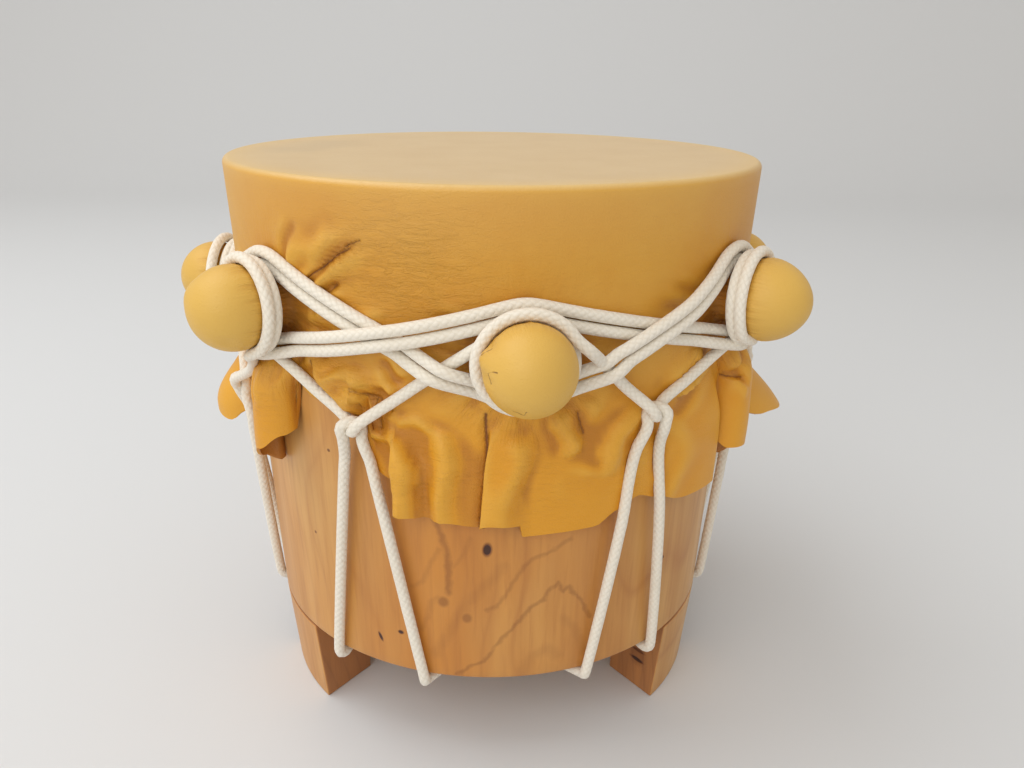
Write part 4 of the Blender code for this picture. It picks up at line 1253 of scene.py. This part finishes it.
knob_angles, knob_nearness = np.zeros(outer.shape), np.zeros(all_drops.shape)
knob_reach = np.ones(all_drops.shape)
for bearing, drop in KNOBS:
    x, y = np.radians(turned_away(bearings, bearing))[None] * ROUND, drop - all_drops
    far = np.hypot(x, y)
    nearness = rise((0.050 - far) / 0.028) * rise((far - 0.0080) / 0.0055)
    # Above a knob the hide is pulled smooth
    nearness *= 1 - 0.8 * rise((y / np.maximum(far, 1e-6) + 0.05) / 0.6) * rise((far - 0.016) / 0.006)
    nearer = far < knob_reach
    knob_reach = np.minimum(far, knob_reach)
    spun = np.stack([x / np.maximum(far, 1e-6), y / np.maximum(far, 1e-6), far * 6.0], -1)
    knob_angles[nearer] = spun[nearer]
    knob_nearness[nearer] = nearness[nearer]
wrinkled = np.zeros(all_drops.shape)
for bearing, drop, half_bearing, half_drop, strength in WRINKLED:
    x, y = turned_away(bearings, bearing)[None] / half_bearing, (all_drops - drop) / half_drop
    wrinkled = np.maximum(wrinkled, strength * np.exp(-x * x - y * y))
fields = {"wrinkled": wrinkled, "hollow": np.clip(hollow * 1500, -1, 1), "gathered": knob_nearness,
          "on_ball": rise((0.0150 - knob_reach) / 0.0060), "inside": np.zeros_like(knob_nearness)}
for field, values in fields.items():
    rest = np.ones(inner.shape[:2]) if field == "inside" else np.zeros(inner.shape[:2])
    stored = hide.data.attributes.new(field, "FLOAT", "POINT")
    values = np.concatenate([values.ravel(), rest.ravel(), [0, 0]])
    stored.data.foreach_set("value", values.astype(np.float32))
rolled = np.stack(np.broadcast_arrays(np.radians(bearings) * ROUND, -all_drops, 0.0), -1)
for field, values in (("round_knob", knob_angles), ("rolled_out", rolled)):
    stored = hide.data.attributes.new(field, "FLOAT_VECTOR", "POINT")
    values = np.concatenate([values.reshape(-1, 3), np.ones((inner.shape[0] * HIDE_COLUMNS + 2, 3))])
    stored.data.foreach_set("vector", values.ravel().astype(np.float32))


def soft_hide(name):
    """Yellow-ochre hide: pebbled grain, fine wrinkles, paler on the head, redder below, with painted shade in
    its creases and folds.
    """
    material, tree, shader, place = new_material(name, 0.45)
    z = node(tree, "ShaderNodeSeparateXYZ", {0: place}).outputs[2]
    hollow, gathered, inside, wrinkled, on_ball = (
        attribute(tree, field) for field in ("hollow", "gathered", "inside", "wrinkled", "on_ball"))
    patches = noise(tree, place, 13.0, 4.0, 0.6)
    cloud = noise(tree, place, 45.0, 4.0, 0.6)
    pebbles = {"Vector": place, "Scale": 850.0}
    grain = node(tree, "ShaderNodeTexVoronoi", pebbles, feature="DISTANCE_TO_EDGE").outputs[0]
    fine = noise(tree, place, 1300.0, 3.0, 0.6)
    wrinkles = noise(tree, place, 110.0, 5.0, 0.62, (1, 1, 4.2), 1.2)
    lines = sums(tree, "ABSOLUTE", sums(tree, "MULTIPLY_ADD", wrinkles, 2.0, -1.0))
    lines = ramp(tree, lines, (0.0, 0.0), (0.16, 0.6), (0.45, 1.0))
    lined = blended(tree, wrinkled, (1, 1, 1, 1), lines)
    spokes = noise(tree, attribute(tree, "round_knob", "Vector"), 9.0, 4.0, 0.62, None, 0.4)
    creases, on_knob = (
        [(half, depth, [np.append(flat_place(*end), 0.0) for end in ends]) for half, depth, ends in table]
        for table in (SHARP_CREASES, KNOB_CREASES))
    wavering = shaken(tree, attribute(tree, "rolled_out", "Vector"), 420.0, 0.0011)
    sharp = near_lines(tree, wavering, creases + on_knob)
    valleys = near_lines(tree, wavering, [(half * VALLEY_WIDTH, 1.0, places) for half, _, places in creases])
    valleys = sums(tree, "POWER", valleys, 2.0)
    soiled = near_lines(tree, shaken(tree, place, 60.0, 0.0200), HEAD_STAIN)

    def by_drop(start, end, high=1.0, low=0.0):
        """A share that changes between two drops."""
        return eased(tree, z, HEIGHT - start, HEIGHT - end, high, low)

    def without(value):
        return sums(tree, "SUBTRACT", 1.0, value)

    head = coated(tree, (0.69, 0.510, 0.265, 1), [
        (ramp(tree, cloud, (0.35, 0), (0.75, 1)), (0.65, 0.465, 0.225, 1)),
        (soiled, (0.42, 0.330, 0.200, 1))])
    colour = coated(tree, (0.635, 0.294, 0.028, 1), [
        (ramp(tree, patches, (0.36, 0), (0.66, 1)), (0.672, 0.352, 0.047, 1)),
        (ramp(tree, cloud, (0.42, 0), (0.8, 0.35)), (0.60, 0.260, 0.020, 1)),
        (by_drop(0.060, 0.100, 0.75), (0.740, 0.318, 0.010, 1)),
        (times(tree, on_ball, 0.55), (0.68, 0.470, 0.130, 1)),
        (by_drop(0.030, 0.003, 0.45), (0.70, 0.39, 0.11, 1)),
        (times(tree, by_drop(0.0020, 0.0002), 0.85), head),
        # Painted shade darkens the hollows of the hide, and a painted highlight lightens its ridges
        (eased(tree, hollow, 0.10, 1.0, 0.55), (0.38, 0.120, 0.012, 1)),
        (eased(tree, hollow, -0.10, -0.9, 0.25), (0.85, 0.530, 0.090, 1)),
        # Painted shade in the hollows of the gathers round the knobs
        (times(tree, ramp(tree, spokes, (0.30, 0.5), (0.47, 0)), gathered), (0.40, 0.130, 0.014, 1)),
        # Painted shade in the hollows between the fine wrinkles
        (times(tree, without(lines), times(tree, wrinkled, 0.06)), (0.42, 0.150, 0.016, 1)),
        # Painted shade: the soft valleys round the sharp creases, then the sharp creases as dark lines
        (times(tree, valleys, 0.20), (0.42, 0.150, 0.016, 1)),
        (sharp, (0.130, 0.032, 0.006, 1)),
        # The inner face is darkened with painted shade
        (times(tree, inside, 0.75), (0.36, 0.120, 0.030, 1))])
    tree.links.new(colour, shader.inputs["Base Color"])
    shader.inputs["Specular IOR Level"].default_value = 0.42
    # The tight rim is rubbed smoother than the rest
    tree.links.new(by_drop(0.0060, 0.0015, 0.34, 0.45), shader.inputs["Roughness"])
    radiating = times(tree, sums(tree, "SUBTRACT", spokes, 0.5), gathered)
    bumps(tree, shader, [
        (without(sharp), 0.0006, 0.6), (without(valleys), 0.0009, 0.6), (radiating, 0.0018, 0.9),
        (lined, 0.0007, 0.5), (wrinkles, 0.0005, 0.35), (grain, 0.00030, 0.45), (fine, 0.0001, 0.4)])
    return material


hide.data.materials.append(soft_hide("soft_hide"))
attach(hide, "root")
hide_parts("hide")


# The cords: round braided cotton, off-white and a little soiled. One goes round every knob, one is wrapped
# over and under the knobs, and one laces the Vs to each other across the underside.
BRAID_STRANDS = 5
BRAID_LENGTH = 0.0034
CORD_SIDES = 14
CORD_STEP = 0.0016


def braided_cotton(name, base, shade):
    """Braided cotton: two families of strands over and under each other, with painted shade between the
    strands, fibres and a little dirt.
    """
    material, tree, shader, place = new_material(name, 0.85)
    x, y, _ = node(tree, "ShaderNodeSeparateXYZ", {0: attribute(tree, "turn", "Vector")}).outputs
    angle = times(tree, sums(tree, "ARCTAN2", y, x), BRAID_STRANDS / (2 * np.pi))
    along = sums(tree, "DIVIDE", attribute(tree, "run"), BRAID_LENGTH)
    families = sums(tree, "ADD", angle, along), sums(tree, "SUBTRACT", angle, along)
    cell = sums(tree, "ADD", *(sums(tree, "FLOOR", strand) for strand in families))
    turned_up = sums(tree, "FLOORED_MODULO", cell, 2.0)
    hills = []
    for strand in families:
        away = sums(tree, "ABSOLUTE", sums(tree, "MULTIPLY_ADD", sums(tree, "FRACT", strand), 2.0, -1.0))
        hills.append(sums(tree, "POWER", away, 2.0))
    ridges = [sums(tree, "MULTIPLY_ADD", other, -0.45, sums(tree, "SUBTRACT", 1.0, own))
              for own, other in (hills, hills[::-1])]
    laid_down = times(tree, ridges[1], sums(tree, "SUBTRACT", 1.0, turned_up))
    height = sums(tree, "ADD", times(tree, ridges[0], turned_up), laid_down, clamp=True)
    fibres = noise(tree, place, 1500.0, 3.0, 0.6)
    soil = noise(tree, place, 30.0, 3.0, 0.6)
    # Painted shade where the braid sinks between its strands, then soil in the same colour
    colour = coated(tree, base, [(ramp(tree, height, (0.0, 0.34), (0.7, 0)), shade),
                                 (ramp(tree, soil, (0.5, 0), (0.8, 0.35)), shade)])
    tree.links.new(colour, shader.inputs["Base Color"])
    shader.inputs["Sheen Weight"].default_value = 0.3
    bumps(tree, shader, [(height, 0.00035, 0.6), (fibres, 0.00012, 0.5)])
    return material


def cord_tree():
    """Sweeps a round cord along its line, and keeps how far along and which way round each point is."""
    tree = bpy.data.node_groups.new("braided_cord", "GeometryNodeTree")
    tree.is_modifier = True
    for name, kind, default in (("Line", "Geometry", None), ("Cord Radius", "Float", CORD_RADIUS),
                                ("Ring Spacing", "Float", CORD_STEP), ("Sides", "Int", CORD_SIDES),
                                ("Slackness", "Float", 0.0001), ("Finish", "Material", None)):
        socket = tree.interface.new_socket(name=name, in_out="INPUT", socket_type="NodeSocket" + kind)
        if default is not None:
            socket.default_value = default
    tree.interface.new_socket(name="Cord", in_out="OUTPUT", socket_type="NodeSocketGeometry")
    inputs = tree.nodes.new("NodeGroupInput").outputs

    def made(kind, values=None, **settings):
        return node(tree, "GeometryNode" + kind, values, **settings).outputs[0]

    def storing(geometry, name, value, kind):
        values = {"Geometry": geometry, "Name": name, "Value": value}
        return made("StoreNamedAttribute", values, data_type=kind, domain="POINT")

    spaced = made("ResampleCurve", {"Curve": inputs["Line"], "Length": inputs["Ring Spacing"]}, mode="LENGTH")
    run = node(tree, "GeometryNodeSplineParameter").outputs["Length"]
    line = storing(spaced, "run", run, "FLOAT")
    circle = made("CurvePrimitiveCircle", {"Resolution": inputs["Sides"], "Radius": inputs["Cord Radius"]})
    section = storing(circle, "turn", vector(tree, "NORMALIZE", made("InputPosition")), "FLOAT_VECTOR")
    swept = made("CurveToMesh", {"Curve": line, "Profile Curve": section})
    fuzz = {"Vector": made("InputPosition"), "Scale": 260.0, "Detail": 2.0}
    rough = node(tree, "ShaderNodeTexNoise", fuzz).outputs[0]
    wobble = times(tree, sums(tree, "SUBTRACT", rough, 0.5), inputs["Slackness"])
    push = vector(tree, "SCALE", made("InputNormal"), scale=times(tree, wobble, 2.0))
    moved = made("SetPosition", {"Geometry": swept, "Offset": push})
    whole = made("RealizeInstances", {"Geometry": made("SetShadeSmooth", {"Geometry": moved})})
    finished = made("SetMaterial", {"Geometry": whole, "Material": inputs["Finish"]})
    tree.links.new(finished, tree.nodes.new("NodeGroupOutput").inputs[0])
    return tree


CORD_TREE = cord_tree()


def lay_cord(name, line, finish, replaced):
    """Sweeps one cord with the node tree, makes it a plain mesh and lets it stand for its solid."""
    path = bpy.data.curves.new(name + "_path", "CURVE")
    path.dimensions = "3D"
    spline = path.splines.new("POLY")
    spline.points.add(len(line) - 1)
    spline.points.foreach_set("co", np.column_stack([line, np.ones(len(line))]).ravel())
    spline.use_cyclic_u = True
    guide = placed(name + "_path", path)
    sweep = guide.modifiers.new("braided_cord", "NODES")
    sweep.node_group = CORD_TREE
    for socket in CORD_TREE.interface.items_tree:
        if socket.in_out == "INPUT" and socket.name == "Finish":
            sweep[socket.identifier] = finish
    graph = bpy.context.evaluated_depsgraph_get()
    data = bpy.data.meshes.new_from_object(guide.evaluated_get(graph))
    bpy.data.objects.remove(guide)
    data.name = name
    piece = placed(name, data)
    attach(piece, "root")
    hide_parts(replaced)


cotton = braided_cotton("braided_cotton", (0.86, 0.80, 0.69, 1), (0.72, 0.64, 0.50, 1))
for solid, line in CORD_LINES.items():
    lay_cord("braided_" + solid, line, cotton, solid)
